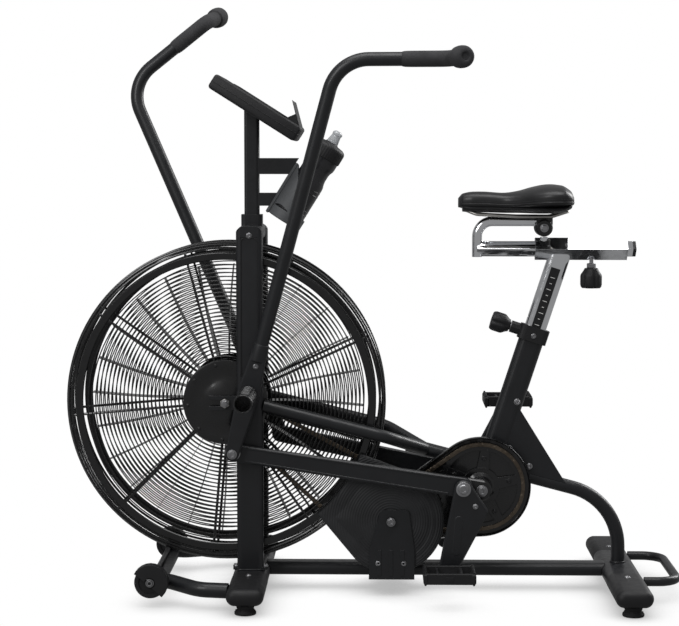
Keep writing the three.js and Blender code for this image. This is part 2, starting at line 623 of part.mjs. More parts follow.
for (const [name, side] of SIDES) {
  piece(`${name}_fan_cage`, fanCage(side), MATERIAL.gloss);
  piece(`${name}_jackshaft_bracket`, jackshaftBracket(side), MATERIAL.frame);
}
piece('fan_axle', fanAxle(), MATERIAL.steel);
piece('fan', fanWheel(), MATERIAL.gloss);
piece('jackshaft', jackshaft(), MATERIAL.steel);
piece('crank_chain', chainLoop(CRANK, JACK, TEETH.chainring, TEETH.jackSmall, CRANK_CHAIN_Y), MATERIAL.chain);
piece('fan_chain', chainLoop(JACK, FAN, TEETH.jackLarge, TEETH.fan, FAN_CHAIN_Y), MATERIAL.chain);
piece('crank_chain_guard', crankChainGuard(), MATERIAL.gloss);
piece('fan_chain_cover', fanChainCover(), MATERIAL.cover);

// ---------- crankset and pedals ----------
const crank = frameAt(CRANK.x, CRANK.z, CRANK_LEAN);
const WEB = { inner: 75, outer: 92 };
const ARM = { inner: 121, outer: 137 };
const pinOf = (side) => {
  const turn = PIN_LEAD + (side < 0 ? 0 : Math.PI);
  return { x: THROW * Math.cos(turn), z: THROW * Math.sin(turn) };
};
const pedalOf = (side) => ({ x: 0, z: side * CRANK_LENGTH });

function crankset() {
  const axle = barY(0, 0, -80, 80, 12, 12);
  const ring = sprocket({ x: 0, z: 0 }, TEETH.chainring, CRANK_CHAIN_Y);
  const windows = Array.from({ length: 5 }, (_, i) => {
    const turn = (2 * Math.PI * i) / 5;
    return barY(54 * Math.cos(turn), 54 * Math.sin(turn), -50, -30, 15, 6);
  });
  const flange = barY(0, 0, -70, -38, 22, 14);
  const webs = SIDES.map(([, side]) => {
    const pin = pinOf(side);
    const web = plateY(hull([[0, 0, 21], [pin.x, pin.z, 17]], 16), side * WEB.inner, side * WEB.outer);
    return join(web, barY(0, 0, side * WEB.outer, side * (WEB.outer + 4), 10, 6));
  });
  return join(axle, cut(ring, ...windows), flange, ...webs);
}

// The arm outside the drive rod, from the crankpin down to the pedal.
function pedalArm(side) {
  const pin = pinOf(side);
  const pedal = pedalOf(side);
  const heel = { x: 13 * side, z: 34 * side };
  const outline = hull([[pin.x, pin.z, 18], [-heel.x, heel.z, 13], [pedal.x, pedal.z, 19]], 20);
  const arm = plateY(outline, side * ARM.inner, side * ARM.outer);
  const recess = plateY(hull([[pin.x * 0.55, pin.z + side * 62, 8], [pedal.x, pedal.z - side * 40, 8]], 8),
    side * (ARM.outer - 2), side * (ARM.outer + 1));
  const boltHead = barY(pin.x, pin.z, side * ARM.outer, side * (ARM.outer + 4), 11, 12);
  const spindle = barY(pedal.x, pedal.z, side * ARM.outer, side * 222, 6, 8);
  const collar = barY(pedal.x, pedal.z, side * ARM.outer, side * (ARM.outer + 4), 10, 10);
  return join(cut(arm, recess), boltHead, spindle, collar);
}

function pedal(side) {
  const centre = crankPoint(pedalOf(side));
  const [inner, outer] = [142, 234];
  const bodyShape = roundedBox(106, 25, 6, centre.x, centre.z);
  const body = plateY(bodyShape, side * inner, side * outer, 3);
  const windows = [-33, 33].map((dx) => {
    const y = [side * (inner + 12), side * (outer - 10)].sort((a, b) => a - b);
    return block(centre.x + dx - 12, centre.x + dx + 12, ...y, centre.z - 20, centre.z + 20);
  });
  const holes = [-36, 0, 36].map((dx) => barY(centre.x + dx, centre.z, side * (outer - 30), side * (outer + 1), 8, 8));
  const bore = barY(centre.x, centre.z, side * (inner - 1), side * (outer - 8), 7, 10);
  const teeth = [-1, 1].flatMap((up) => [-44, 44].map((dx) =>
    block(centre.x + dx - 4, centre.x + dx + 4, ...[side * (outer - 9), side * outer].sort((a, b) => a - b),
      centre.z + (up > 0 ? 11 : -16), centre.z + (up > 0 ? 16 : -11))));
  return cut(join(body, ...teeth), ...windows, ...holes.slice(0, 1), ...holes.slice(2), bore);
}

function crankPoint({ x, z }) {
  const [c, s] = [Math.cos(CRANK_LEAN), Math.sin(CRANK_LEAN)];
  return { x: CRANK.x + x * c + z * s, z: CRANK.z - x * s + z * c };
}

piece('crankset', crankset(), MATERIAL.gloss, crank);
for (const [name, side] of SIDES) {
  piece(`${name}_pedal_arm`, pedalArm(side), MATERIAL.frame, crank);
  piece(`${name}_pedal`, pedal(side), MATERIAL.plastic);
}

// ---------- handle levers, grips and drive rods ----------
const LEVER = { seam: 92, corner: 699.5, bend: 82, tube: 14, gripStart: 128 };

// Points on a lever, in its own frame: up along the lever, then back along the handle.
function leverRoute(side) {
  const rise = LEFT_LEAN;
  const reach = (distance, y) =>
    at(distance * Math.cos(rise), side * y, LEVER.corner + distance * Math.sin(rise));
  return [at(0, side * 133, LEVER.seam - 10), at(0, side * 190, LEVER.corner), reach(218, 207),
    reach(242, WIDTH / 2 - 22)];
}

function handleTube(side) {
  const tube = pipe(leverRoute(side), [LEVER.bend, 26], LEVER.tube, 10, 4);
  const casting = plateY(hull([[0, 0, 23], [0, LEVER.seam, 15]], 16), side * LEVER_Y.inner, side * LEVER_Y.outer);
  const lower = plateY(hull([[0, 0, 23], [0, -LEVER_ARM, 14]], 16), side * LEVER_Y.inner, side * (LEVER_Y.outer - 5));
  const socket = bar(at(0, side * 132.6, LEVER.seam - 22), at(0, side * 136.5, LEVER.seam + 14), 17, 12, 15.5);
  const bore = barY(0, 0, side * 110, side * 160, JOURNAL + 0.6, 16);
  const pin = barY(0, -LEVER_ARM, side * (ROD.inner + 1), side * LEVER_Y.outer, 6, 10);
  return cut(join(tube, casting, lower, socket, pin), bore);
}

// The foam grip slides over the handle and ends in a round knob that closes the tube.
function grip(side) {
  const [, corner, knee, tip] = leverRoute(side);
  const start = corner.clone().addScaledVector(knee.clone().sub(corner).normalize(), LEVER.gripStart);
  const outward = tip.clone().sub(knee).normalize();
  const sleeve = pipe([start, knee, tip], 26, 16.4, 10, 3);
  const ball = new THREE.SphereGeometry(22, 12, 6).translate(tip.x, tip.y, tip.z);
  const end = tip.clone().addScaledVector(outward, GAP);
  const bore = pipe([corner, knee, end], 26, LEVER.tube + 2 * GAP, 10, 4);
  return cut(join(sleeve, solidOf(ball)), bore);
}

function driveRod(side, start, end) {
  const length = start.distanceTo(end);
  const [y0, y1] = [side * ROD.inner, side * ROD.outer];
  const outline = hull([[0, 0, ROD.front], [length, 0, ROD.rear]], 20);
  const body = plateY(outline, y0, y1);
  const trim = [-1, 1].map((way) => {
    const edge = [[40, way * (ROD.front - 5)], [length - 40, way * (ROD.rear - 5)]];
    return plateY(hull(edge.map(([x, z]) => [x, z, 1.2]), 8), side * (ROD.outer - 1.2), side * (ROD.outer + 1));
  });
  return cut(body, ...trim, barY(0, 0, side * 90, side * 130, 6.6, 10));
}

for (const [name, side] of SIDES) {
  const lean = side < 0 ? LEFT_LEAN : RIGHT_LEAN;
  const lever = frameAt(PIVOT.x, PIVOT.z, lean);
  piece(`${name}_lever`, handleTube(side), MATERIAL.frame, lever);
  piece(`${name}_grip`, grip(side), MATERIAL.foam, lever);
  const joint = at(PIVOT.x - LEVER_ARM * Math.sin(lean), 0, PIVOT.z - LEVER_ARM * Math.cos(lean));
  const pin = crankPoint(pinOf(side));
  const reach = at(pin.x, 0, pin.z).sub(joint);
  const rod = frameAt(joint.x, joint.z, Math.atan2(-reach.z, reach.x));
  piece(`${name}_rod`, driveRod(side, at(0, 0, 0), at(reach.length(), 0, 0)), MATERIAL.frame, rod);
}

// ---------- seat ----------
const SLIDER = { z: CARRIAGE_Z, front: 217.5, rear: 549, side: 24.6 };
const SADDLE_POST_Z = 777.6;
const CLAMP = { x: 356, z: 764.5, radius: 17 };

// A square tube laid along X with an edge on top.
function diamondBar(x0, x1, side, z) {
  const half = side * Math.SQRT1_2;
  const outline = new THREE.Shape([[half, 0], [0, half], [-half, 0], [0, -half]].map(([y, up]) =>
    new THREE.Vector2(y, up)));
  const options = { depth: x1 - x0, bevelEnabled: false };
  const geometry = new THREE.ExtrudeGeometry(outline, options);
  return solidOf(geometry.rotateX(Math.PI / 2).rotateZ(Math.PI / 2).translate(x0, 0, z));
}

function seatPost() {
  const { width, thick } = SEAT;
  const carriage = diamondBar(338.5, 531, 33, CARRIAGE_Z);
  const bore = diamondBar(330, 540, 26, CARRIAGE_Z);
  const above = block(330, 540, -40, 40, CARRIAGE_Z - 8, CARRIAGE_Z + 60);
  const blade = cut(seatColumn(obround(width, thick), -20, 320, 3), above);
  const screw = bar(at(357, 0, CARRIAGE_Z + 16), at(357, 0, CARRIAGE_Z + 25), 8, 8);
  const pinHoles = [0, 1, 2, 3].map((i) => {
    const centre = alongSeat(SEAT.collarTop + 14 - 30 * i);
    return bar(centre.clone().addScaledVector(out, 12), centre.clone().addScaledVector(out, 30), 4.6, 6);
  });
  const knobHole = bar(at(457, 0, CARRIAGE_Z - 40), at(457, 0, CARRIAGE_Z), 5.4, 6);
  return cut(join(carriage, blade, screw), bore, ...pinHoles, knobHole);
}

// A fluted pull knob on a pin, drawn up its own Z axis with the pin's tip at zero.
function pullKnob(reach, radius, height) {
  const pin = bar(at(0, 0, 0), at(0, 0, reach + 2), 4.2, 8);
  const body = turned([[0, reach], [radius * 0.55, reach], [radius * 0.7, reach + 5], [radius, reach + height * 0.35],
    [radius, reach + height * 0.85], [radius * 0.86, reach + height], [0, reach + height]], 15);
  const flutes = Array.from({ length: 5 }, (_, i) => {
    const turn = (2 * Math.PI * i) / 5;
    const [x, y] = [radius * 1.2 * Math.cos(turn), radius * 1.2 * Math.sin(turn)];
    return bar(at(x, y, reach - 2), at(x, y, reach + height + 2), radius * 0.36, 6);
  });
  return join(pin, cut(body, ...flutes));
}

function seatSlider() {
  const { z, front, rear, side } = SLIDER;
  const tube = cut(diamondBar(front, rear, side, z), diamondBar(front + 26, rear + 5, side - 5, z));
  const neck = pipe([at(front, 0, 697), at(front, 0, SADDLE_POST_Z), at(CLAMP.x + 12, 0, SADDLE_POST_Z)],
    32, 10.3, 14, 4);
  const pinHoles = [0, 1, 2].map((i) => bar(at(433 + 24 * i, 0, 690), at(433 + 24 * i, 0, z), 4.8, 8));
  return cut(join(tube, neck), ...pinHoles);
}

function saddleClamp() {
  const drum = barY(CLAMP.x, CLAMP.z, -26, 26, CLAMP.radius, 18);
  const saddlePost = bar(at(CLAMP.x - 60, 0, SADDLE_POST_Z), at(CLAMP.x + 12 + GAP, 0, SADDLE_POST_Z), 10.9, 14);
  const collar = block(CLAMP.x - 16, CLAMP.x + 19, -16, 16, CLAMP.z, SADDLE_POST_Z + 14);
  const bolt = barY(CLAMP.x, CLAMP.z, -31, 31, 7, 8);
  return cut(join(drum, collar, bolt), saddlePost);
}

// The saddle's outline: [x, half width, bottom, top] from the nose to the tail.
const SADDLE = [
  [177, 12, 803, 827], [186, 24, 799, 836], [205, 32, 797, 840], [240, 36, 797, 840], [275, 42, 796, 838],
  [305, 60, 796, 842], [335, 88, 795, 850], [365, 104, 795, 855], [392, 104, 797, 853], [408, 88, 803, 843],
  [416, 58, 808, 830],
];

function saddle() {
  const around = 14;
  const sections = SADDLE.map(([x, half, bottom, top]) => Array.from({ length: around }, (_, i) => {
    const turn = (2 * Math.PI * i) / around;
    const squash = (value) => Math.sign(value) * Math.abs(value) ** 0.7;
    return at(x, half * squash(Math.cos(turn)), (bottom + top) / 2 + ((top - bottom) / 2) * squash(Math.sin(turn)));
  }));
  const dip = block(CLAMP.x - 20, CLAMP.x + 23, -30, 30, 770, SADDLE_POST_Z + 14 + GAP + 6);
  return cut(loft(sections), dip);
}

piece('seat_post', seatPost(), MATERIAL.chrome);
piece('seat_slider', seatSlider(), MATERIAL.chrome);
piece('saddle_clamp', saddleClamp(), MATERIAL.gloss);
piece('saddle', saddle(), MATERIAL.leather);
// Both pull pins stop at the face of what they lock, so that the post and the slider can be posed freely.
const postPin = alongSeat(SEAT.collarTop + 14).addScaledVector(out, SEAT.width / 2 + 2 * GAP);
const postKnob = piece('post_knob', pullKnob(29, 21, 40), MATERIAL.plastic);
postKnob.position.copy(postPin);
postKnob.quaternion.setFromUnitVectors(at(0, 0, 1), out);
const sliderKnob = piece('slider_knob', pullKnob(22, 23, 42), MATERIAL.plastic);
sliderKnob.position.set(457, 0, CARRIAGE_Z - 18);
sliderKnob.rotation.x = Math.PI;

// ---------- console and bottle holder ----------
// The console is drawn level and then leaned back, its screen on top and its ledge at the rear.
function consoleBody() {
  const { length, thick, width } = CONSOLE;
  const shell = plateY(roundedBox(length, thick, 7), -width / 2, width / 2, 3);
  const screen = block(-62, 60, -74, 74, thick / 2 - 2, thick / 2 + 1);
  const ledge = plateY(new THREE.Shape([[length / 2 - 8, thick / 2 - 2], [length / 2 - 2, thick / 2 - 4],
    [length / 2 - 46, thick / 2 + 37], [length / 2 - 48, thick / 2 + 37]].map(([x, z]) => new THREE.Vector2(x, z))),
  -80, 80);
  const cheeks = SIDES.map(([, side]) => plateY(new THREE.Shape([[length / 2 - 40, thick / 2 - 1],
    [length / 2 - 6, thick / 2 - 1], [length / 2 - 27, thick / 2 + 17]].map(([x, z]) => new THREE.Vector2(x, z))),
  side * 77, side * 80));
  return join(cut(shell, screen), ledge, ...cheeks);
}

const BOTTLE = { x: -184.7, z: 782.7, lean: Math.atan2(0.529, 0.848), radius: 34.5, height: 185 };

function bottleSolid() {
  return turned([[0, 0], [30, 0], [34.5, 5], [34.5, 98], [30, 108], [30, 124], [34.5, 134], [34.5, 150],
    [36.5, 152], [36.5, 176], [32, 185], [13, 187], [9, 212], [6, 214], [0, 214]], 14);
}

// Drawn in the bottle's own upright frame, open at the rear so that the bottle lifts out.
function bottleCage() {
  const inner = BOTTLE.radius + 1;
  const ring = (z0, z1, grow) => columnZ(disc(0, 0, inner + grow, 24), z0, z1);
  const shell = cut(ring(-6, 112, 2.8), ring(-3, 113, 0));
  const openRear = block(8, 60, -60, 60, 16, 120);
  const slant = plateY(new THREE.Shape([[-6, 116], [60, 60], [60, 130], [-6, 130]].map(([x, z]) =>
    new THREE.Vector2(x, z))), -60, 60);
  const window = plateY(new THREE.Shape([[-26, 14], [-4, 14], [4, 66], [-14, 76]].map(([x, z]) =>
    new THREE.Vector2(x, z))), -60, 60);
  const spine = block(-inner - 6, -inner + 3, -14, 14, -8, 112);
  return join(cut(shell, openRear, slant, window), cut(spine, ring(-3, 120, 0)));
}

const consoleFrame = frameAt(CONSOLE.x, CONSOLE.z, CONSOLE.lean);
piece('console', consoleBody(), MATERIAL.plastic, consoleFrame);
const bottleFrame = frameAt(BOTTLE.x, BOTTLE.z, BOTTLE.lean);
piece('bottle', bottleSolid(), MATERIAL.bottle, bottleFrame);
piece('bottle_cage', bottleCage(), MATERIAL.plastic, bottleFrame);

export default bike;
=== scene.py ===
"""Looks of the air bike: smooth tubes, a dense wire cage, foam, leather, chrome and moulded plastic.

Metres. +Z is up, +X points to the rear, -Y is the rider's left, which the camera sees.
"""
import json
import math

import bmesh
import bpy
from mathutils import Matrix, Vector


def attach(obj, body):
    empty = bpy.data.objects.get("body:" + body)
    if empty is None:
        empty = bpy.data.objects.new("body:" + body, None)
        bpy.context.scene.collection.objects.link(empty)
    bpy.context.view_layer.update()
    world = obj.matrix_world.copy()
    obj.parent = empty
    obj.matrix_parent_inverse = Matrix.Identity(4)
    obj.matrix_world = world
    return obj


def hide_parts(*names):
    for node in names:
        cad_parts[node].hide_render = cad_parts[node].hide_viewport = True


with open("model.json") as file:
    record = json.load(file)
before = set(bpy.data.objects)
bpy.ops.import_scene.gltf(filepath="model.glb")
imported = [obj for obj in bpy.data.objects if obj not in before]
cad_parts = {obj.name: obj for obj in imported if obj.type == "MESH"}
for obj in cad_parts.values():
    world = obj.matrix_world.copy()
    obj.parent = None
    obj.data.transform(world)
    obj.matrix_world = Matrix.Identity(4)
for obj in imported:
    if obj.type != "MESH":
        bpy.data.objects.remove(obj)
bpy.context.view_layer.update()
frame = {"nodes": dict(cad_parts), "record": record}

FAN = Vector((-0.3065, 0, 0.403))
POST_X = -0.254
PIVOT = Vector((POST_X, 0, 0.429))
CRANK = Vector((0.226, 0, 0.223))
JACK = Vector((0.038, 0, 0.158))
LEAN = {-1: math.radians(15.2), 1: math.radians(-23.8)}
CRANK_LEAN = math.radians(24.6)
SEAT_LEAN = math.radians(18)
SEAT_TOP = Vector((0.3878, 0, 0.698))
SIDES = ((-1, "left"), (1, "right"))
PITCH = 0.0127
CRANK_LENGTH = 0.170
THROW = 0.0415
CRANK_CHAIN_Y = -0.040
FAN_CHAIN_Y = -0.0565
CHAINRING_TEETH, JACK_SMALL, JACK_LARGE, FAN_TEETH = 44, 16, 40, 14


# ---------- materials ----------
def material(name, color, rough, metal=0.0, grain=(700, 0.12), mottle=0.12, wear=0.0, coat=0.0, edge=0.0012,
             leather=0.0, rings=None):
    """A procedural finish: colour mottling, roughness variation, surface grain, soft edges and edge wear."""
    mat = bpy.data.materials.new(name)
    mat.use_nodes = True
    nodes, links = mat.node_tree.nodes, mat.node_tree.links
    bsdf = nodes["Principled BSDF"]
    coords = nodes.new("ShaderNodeTexCoord").outputs["Object"]

    def noise(scale, detail=4.0):
        node = nodes.new("ShaderNodeTexNoise")
        node.inputs["Scale"].default_value = scale
        node.inputs["Detail"].default_value = detail
        links.new(coords, node.inputs["Vector"])
        return node.outputs["Fac"]

    def spread(value, low, high):
        node = nodes.new("ShaderNodeMapRange")
        node.inputs["From Min"].default_value = 0.3
        node.inputs["From Max"].default_value = 0.7
        node.inputs["To Min"].default_value = low
        node.inputs["To Max"].default_value = high
        links.new(value, node.inputs["Value"])
        return node.outputs["Result"]

    def mix(factor, first, second):
        node = nodes.new("ShaderNodeMix")
        node.data_type = "RGBA"
        links.new(factor, node.inputs["Factor"])
        for socket, value in ((node.inputs["A"], first), (node.inputs["B"], second)):
            if isinstance(value, tuple):
                socket.default_value = (*value, 1)
            else:
                links.new(value, socket)
        return node.outputs["Result"]

    soft = nodes.new("ShaderNodeBevel")
    soft.samples = 4
    soft.inputs["Radius"].default_value = edge
    dark = tuple(c * (1 - mottle) for c in color)
    light = tuple(min(1, c * (1 + mottle)) for c in color)
    base = mix(spread(noise(22), 0, 1), dark, light)
    if wear:
        facing = nodes.new("ShaderNodeVectorMath")
        facing.operation = "DOT_PRODUCT"
        links.new(soft.outputs["Normal"], facing.inputs[0])
        links.new(nodes.new("ShaderNodeNewGeometry").outputs["Normal"], facing.inputs[1])
        edges = nodes.new("ShaderNodeMapRange")
        edges.inputs["From Min"].default_value = 0.98
        edges.inputs["From Max"].default_value = 0.80
        edges.inputs["To Max"].default_value = wear
        links.new(facing.outputs["Value"], edges.inputs["Value"])
        patchy = nodes.new("ShaderNodeMath")
        patchy.operation = "MULTIPLY"
        links.new(edges.outputs["Result"], patchy.inputs[0])
        links.new(spread(noise(140), 0, 1), patchy.inputs[1])
        base = mix(patchy.outputs["Value"], base, tuple(min(1, c * 3 + 0.03) for c in color))
    links.new(base, bsdf.inputs["Base Color"])
    links.new(spread(noise(55), max(0.02, rough - 0.06), min(1, rough + 0.06)), bsdf.inputs["Roughness"])
    bsdf.inputs["Metallic"].default_value = metal
    bsdf.inputs["Specular IOR Level"].default_value = 0.5 if metal > 0.5 else 0.3
    bsdf.inputs["Coat Weight"].default_value = coat
    bsdf.inputs["Coat Roughness"].default_value = 0.12
    height = noise(grain[0], 6.0)
    if leather:
        cells = nodes.new("ShaderNodeTexVoronoi")
        cells.feature = "DISTANCE_TO_EDGE"
        cells.inputs["Scale"].default_value = leather
        links.new(coords, cells.inputs["Vector"])
        height = spread(cells.outputs["Distance"], 0, 1)
    if rings:
        offset = nodes.new("ShaderNodeMapping")
        offset.inputs["Location"].default_value = tuple(-c for c in rings[0])
        links.new(coords, offset.inputs["Vector"])
        wave = nodes.new("ShaderNodeTexWave")
        wave.wave_type = "RINGS"
        wave.rings_direction = "Y"
        wave.inputs["Scale"].default_value = rings[1]
        wave.inputs["Distortion"].default_value = 0
        links.new(offset.outputs["Vector"], wave.inputs["Vector"])
        height = wave.outputs["Fac"]
    bump = nodes.new("ShaderNodeBump")
    bump.inputs["Strength"].default_value = grain[1]
    bump.inputs["Distance"].default_value = 0.0006
    links.new(height, bump.inputs["Height"])
    links.new(soft.outputs["Normal"], bump.inputs["Normal"])
    links.new(bump.outputs["Normal"], bsdf.inputs["Normal"])
    return mat


PAINT = material("powder_coat", (0.009, 0.0095, 0.011), 0.40, metal=0.0, grain=(1500, 0.35), wear=0.35, coat=0.15)
GLOSS = material("gloss_coat", (0.004, 0.004, 0.0045), 0.26, metal=0.0, grain=(900, 0.08), coat=0.5)
PLASTIC = material("moulded_plastic", (0.010, 0.010, 0.011), 0.5, grain=(1900, 0.45), wear=0.15)
COVER = material("ribbed_cover", (0.020, 0.0205, 0.022), 0.55, grain=(60, 0.9), mottle=0.2, rings=(JACK, 60))
RUBBER = material("rubber", (0.012, 0.012, 0.013), 0.75, grain=(600, 0.4), mottle=0.25)
CHROME = material("chrome", (0.74, 0.75, 0.77), 0.09, metal=1, grain=(300, 0.03), mottle=0.04)
STEEL = material("plain_steel", (0.4, 0.39, 0.37), 0.35, metal=1, grain=(500, 0.12), mottle=0.2)
CHAIN = material("oiled_chain", (0.11, 0.09, 0.07), 0.36, metal=1, grain=(500, 0.2), mottle=0.35)
FOAM = material("grip_foam", (0.030, 0.030, 0.032), 0.85, grain=(2600, 0.9), mottle=0.2)
LEATHER = material("saddle_leather", (0.013, 0.013, 0.014), 0.42, grain=(900, 0.35), leather=520, coat=0.1)
THREAD = material("stitching", (0.045, 0.045, 0.048), 0.7, grain=(3000, 0.8))
BOTTLE = material("bottle_shell", (0.014, 0.014, 0.016), 0.3, grain=(400, 0.06), coat=0.3)
CLEAR = material("spout", (0.62, 0.64, 0.66), 0.2, grain=(300, 0.05))
CLEAR.node_tree.nodes["Principled BSDF"].inputs["Transmission Weight"].default_value = 0.6
GREY = material("holder_plastic", (0.075, 0.078, 0.082), 0.5, grain=(1500, 0.4))
WHITE = material("scale_marks", (0.72, 0.72, 0.70), 0.5, grain=(900, 0.1))
SCREEN = material("screen", (0.035, 0.042, 0.040), 0.16, grain=(300, 0.02), coat=0.8)
ZINC = material("bolt_zinc", (0.30, 0.30, 0.31), 0.32, metal=1, grain=(700, 0.15), mottle=0.25)

SLOT_LOOK = {
    "black_paint": PAINT, "gloss_black": GLOSS, "black_plastic": PLASTIC, "cover_plastic": COVER,
    "black_rubber": RUBBER, "chrome": CHROME, "steel": STEEL, "grip_foam": FOAM, "saddle_leather": LEATHER,
}
for part in frame["record"]["subparts"]:
    node = frame["nodes"][part["node"]]
    for place in node.material_slots:
        place.material = SLOT_LOOK[part["material_slot"]]


# ---------- mesh helpers ----------
def piece(name, verts, faces, look, body, slot, smooth=True, replaces=(), sharp=40):
    """Makes one mesh piece, turns its normals outwards and hangs it on a body."""
    mesh = bpy.data.meshes.new(name)
    mesh.from_pydata([tuple(v) for v in verts], [], faces)
    work = bmesh.new()
    work.from_mesh(mesh)
    bmesh.ops.recalc_face_normals(work, faces=work.faces)
    for face in work.faces:
        face.smooth = smooth
    for edge in work.edges:
        if len(edge.link_faces) == 2 and edge.calc_face_angle(0) > math.radians(sharp):
            edge.smooth = False
    work.to_mesh(mesh)
    work.free()
    mesh.materials.append(look)
    made = bpy.data.objects.new(name, mesh)
    bpy.context.scene.collection.objects.link(made)
    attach(made, body)
    if replaces:
        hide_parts(*replaces)
    return made


def merged(*parts):
    """Several (vertices, faces) lists as one."""
    verts, faces = [], []
    for part_verts, part_faces in parts:
        start = len(verts)
        verts.extend(part_verts)
        faces.extend([tuple(i + start for i in face) for face in part_faces])
    return verts, faces


def placed(x, z, lean=0.0):
    return Matrix.Translation((x, 0, z)) @ Matrix.Rotation(lean, 4, "Y")


def moved(part, matrix):
    return [matrix @ Vector(v) for v in part[0]], part[1]


def skin(rings, closed=False, caps=True):
    """Faces through equal rings of points."""
    count = len(rings[0])
    verts = [v for ring in rings for v in ring]
    faces = []
    spans = len(rings) if closed else len(rings) - 1
    for s in range(spans):
        a, b = s * count, ((s + 1) % len(rings)) * count
        for i in range(count):
            j = (i + 1) % count
            faces.append((a + i, a + j, b + j, b + i))
    if caps and not closed:
        faces.append(tuple(reversed(range(count))))
        faces.append(tuple(range((len(rings) - 1) * count, len(rings) * count)))
    return verts, faces


def tube(points, radius, sides=28, closed=False):
    """A round tube along points; radius is one number or one for each point."""
    points = [Vector(p) for p in points]
    radii = radius if isinstance(radius, (list, tuple)) else [radius] * len(points)
    n = len(points)

    def heading(i):
        ahead = points[(i + 1) % n] if closed or i < n - 1 else points[i]
        behind = points[i - 1] if closed or i > 0 else points[i]
        return (ahead - behind).normalized()

    along = heading(0)
    side = along.orthogonal().normalized()
    rings = []
    for i, point in enumerate(points):
        turned = heading(i)
        side = along.rotation_difference(turned) @ side
        along = turned
        up = along.cross(side)
        rings.append([point + radii[i] * (math.cos(a) * side + math.sin(a) * up)
                      for a in turns(sides)])
    return skin(rings, closed)


def route(corners, bends, steps=10):
    """Straight runs with round corners."""
    corners = [Vector(c) for c in corners]
    bends = bends if isinstance(bends, (list, tuple)) else [bends] * (len(corners) - 2)
    points = [corners[0]]
    for i in range(1, len(corners) - 1):
        before = (corners[i - 1] - corners[i]).normalized()
        after = (corners[i + 1] - corners[i]).normalized()
        half = before.angle(after) / 2
        reach = bends[i - 1] / math.tan(half)
        start = corners[i] + before * reach
        centre = corners[i] + (before + after).normalized() * (reach / math.cos(half))
        spoke = start - centre
        axis = spoke.cross(-before).normalized()
        for k in range(steps + 1):
            points.append(centre + Matrix.Rotation((math.pi - 2 * half) * k / steps, 3, axis) @ spoke)
    points.append(corners[-1])
    return points


def lathe(profile, segments=48):
    """A [radius, height] profile turned about Z."""
    rings = [[Vector((r * math.cos(a), r * math.sin(a), h))
              for a in turns(segments)] for r, h in profile]
    return skin(rings)


def facing_y(part, x, z, y, side):
    """Turns a Z-up part to look out along the rider's left or right, with its base at y."""
    turn = Matrix.Translation((x, side * y, z)) @ Matrix.Rotation(math.radians(-90 * side), 4, "X")
    return moved(part, turn)


def drum(x, z, y0, y1, radius, side=1, soft=0.0008, segments=40):
    """A round bar along Y from y0 to y1. With side -1 it comes out mirrored, at -y0 to -y1."""
    low, high = sorted((y0, y1))
    depth = high - low
    profile = [(radius - soft, 0), (radius, soft), (radius, depth - soft), (radius - soft, depth)]
    return facing_y(lathe(profile, segments), x, z, low, 1 if side > 0 else -1)


def hull(circles, count=48):
    """The outline of a string pulled tight round circles (x, z, radius)."""
    cloud = sorted({(round(x + r * math.cos(t), 7), round(z + r * math.sin(t), 7)) for x, z, r in circles
                    for t in turns(count)})

    def half(points):
        chain = []
        for p in points:
            while len(chain) > 1 and ((chain[-1][0] - chain[-2][0]) * (p[1] - chain[-2][1])
                                      - (chain[-1][1] - chain[-2][1]) * (p[0] - chain[-2][0])) <= 0:
                chain.pop()
            chain.append(p)
        return chain[:-1]

    return half(cloud) + half(cloud[::-1])


def plate(outline, y0, y1, soft=0.0015):
    """An XZ outline given a thickness, with its edges eased."""
    n = len(outline)
    points = [Vector((x, z)) for x, z in outline]
    area = sum(points[i].x * points[(i + 1) % n].y - points[(i + 1) % n].x * points[i].y for i in range(n))
    way = 1 if area > 0 else -1
    inner = []
    for i, p in enumerate(points):
        a = (points[(i + 1) % n] - points[i - 1]).normalized()
        inner.append(p + way * soft * Vector((-a.y, a.x)))
    low, high = min(y0, y1), max(y0, y1)

    def ring(outline_points, y):
        return [Vector((p.x, y, p.y)) for p in outline_points]

    return skin([ring(inner, low), ring(points, low + soft), ring(points, high - soft), ring(inner, high)])


def rounded(width, height, radius, cx=0.0, cy=0.0, steps=6):
    points = []
    for quarter, (sx, sy) in enumerate(((1, 1), (-1, 1), (-1, -1), (1, -1))):
        for k in range(steps + 1):
            a = (quarter + k / steps) * math.pi / 2
            points.append((cx + sx * (width / 2 - radius) + radius * math.cos(a),
                           cy + sy * (height / 2 - radius) + radius * math.sin(a)))
    return points


def brick(centre, size, soft=0.001, turn=None):
    """A block with eased edges."""
    x, y, z = (s / 2 for s in size)
    outline = rounded(size[0], size[2], min(soft * 2, x * 0.9, z * 0.9), steps=3)
    part = plate(outline, -y, y, min(soft, y * 0.5))
    matrix = Matrix.Translation(centre) @ (turn or Matrix.Identity(4))
    return moved(part, matrix)


def bolt(x, z, y, side, size=0.008, height=0.005, socket=True):
    """A hex or button head that looks outwards from a side face, on a washer."""
    washer = lathe([(size * 1.25, 0), (size * 1.35, 0.0005), (size * 1.3, 0.0014), (size, 0.0016)], 28)
    head = lathe([(size, 0.0012), (size, height * 0.75), (size * 0.86, height), (size * 0.5, height),
                  (size * 0.46, height * 0.35), (size * 0.1, height * 0.3)] if socket else
                 [(size, 0.0012), (size, height * 0.85), (size * 0.86, height)], 6 if not socket else 24)
    return facing_y(merged(washer, head), x, z, y, side)


def turns(count):
    """Angles evenly spread round a full turn."""
    return [2 * math.pi * k / count for k in range(count)]


def ring_points(radius, y, steps=160, centre=FAN):
    return [Vector((centre.x + radius * math.cos(t), y, centre.z + radius * math.sin(t)))
            for t in turns(steps)]


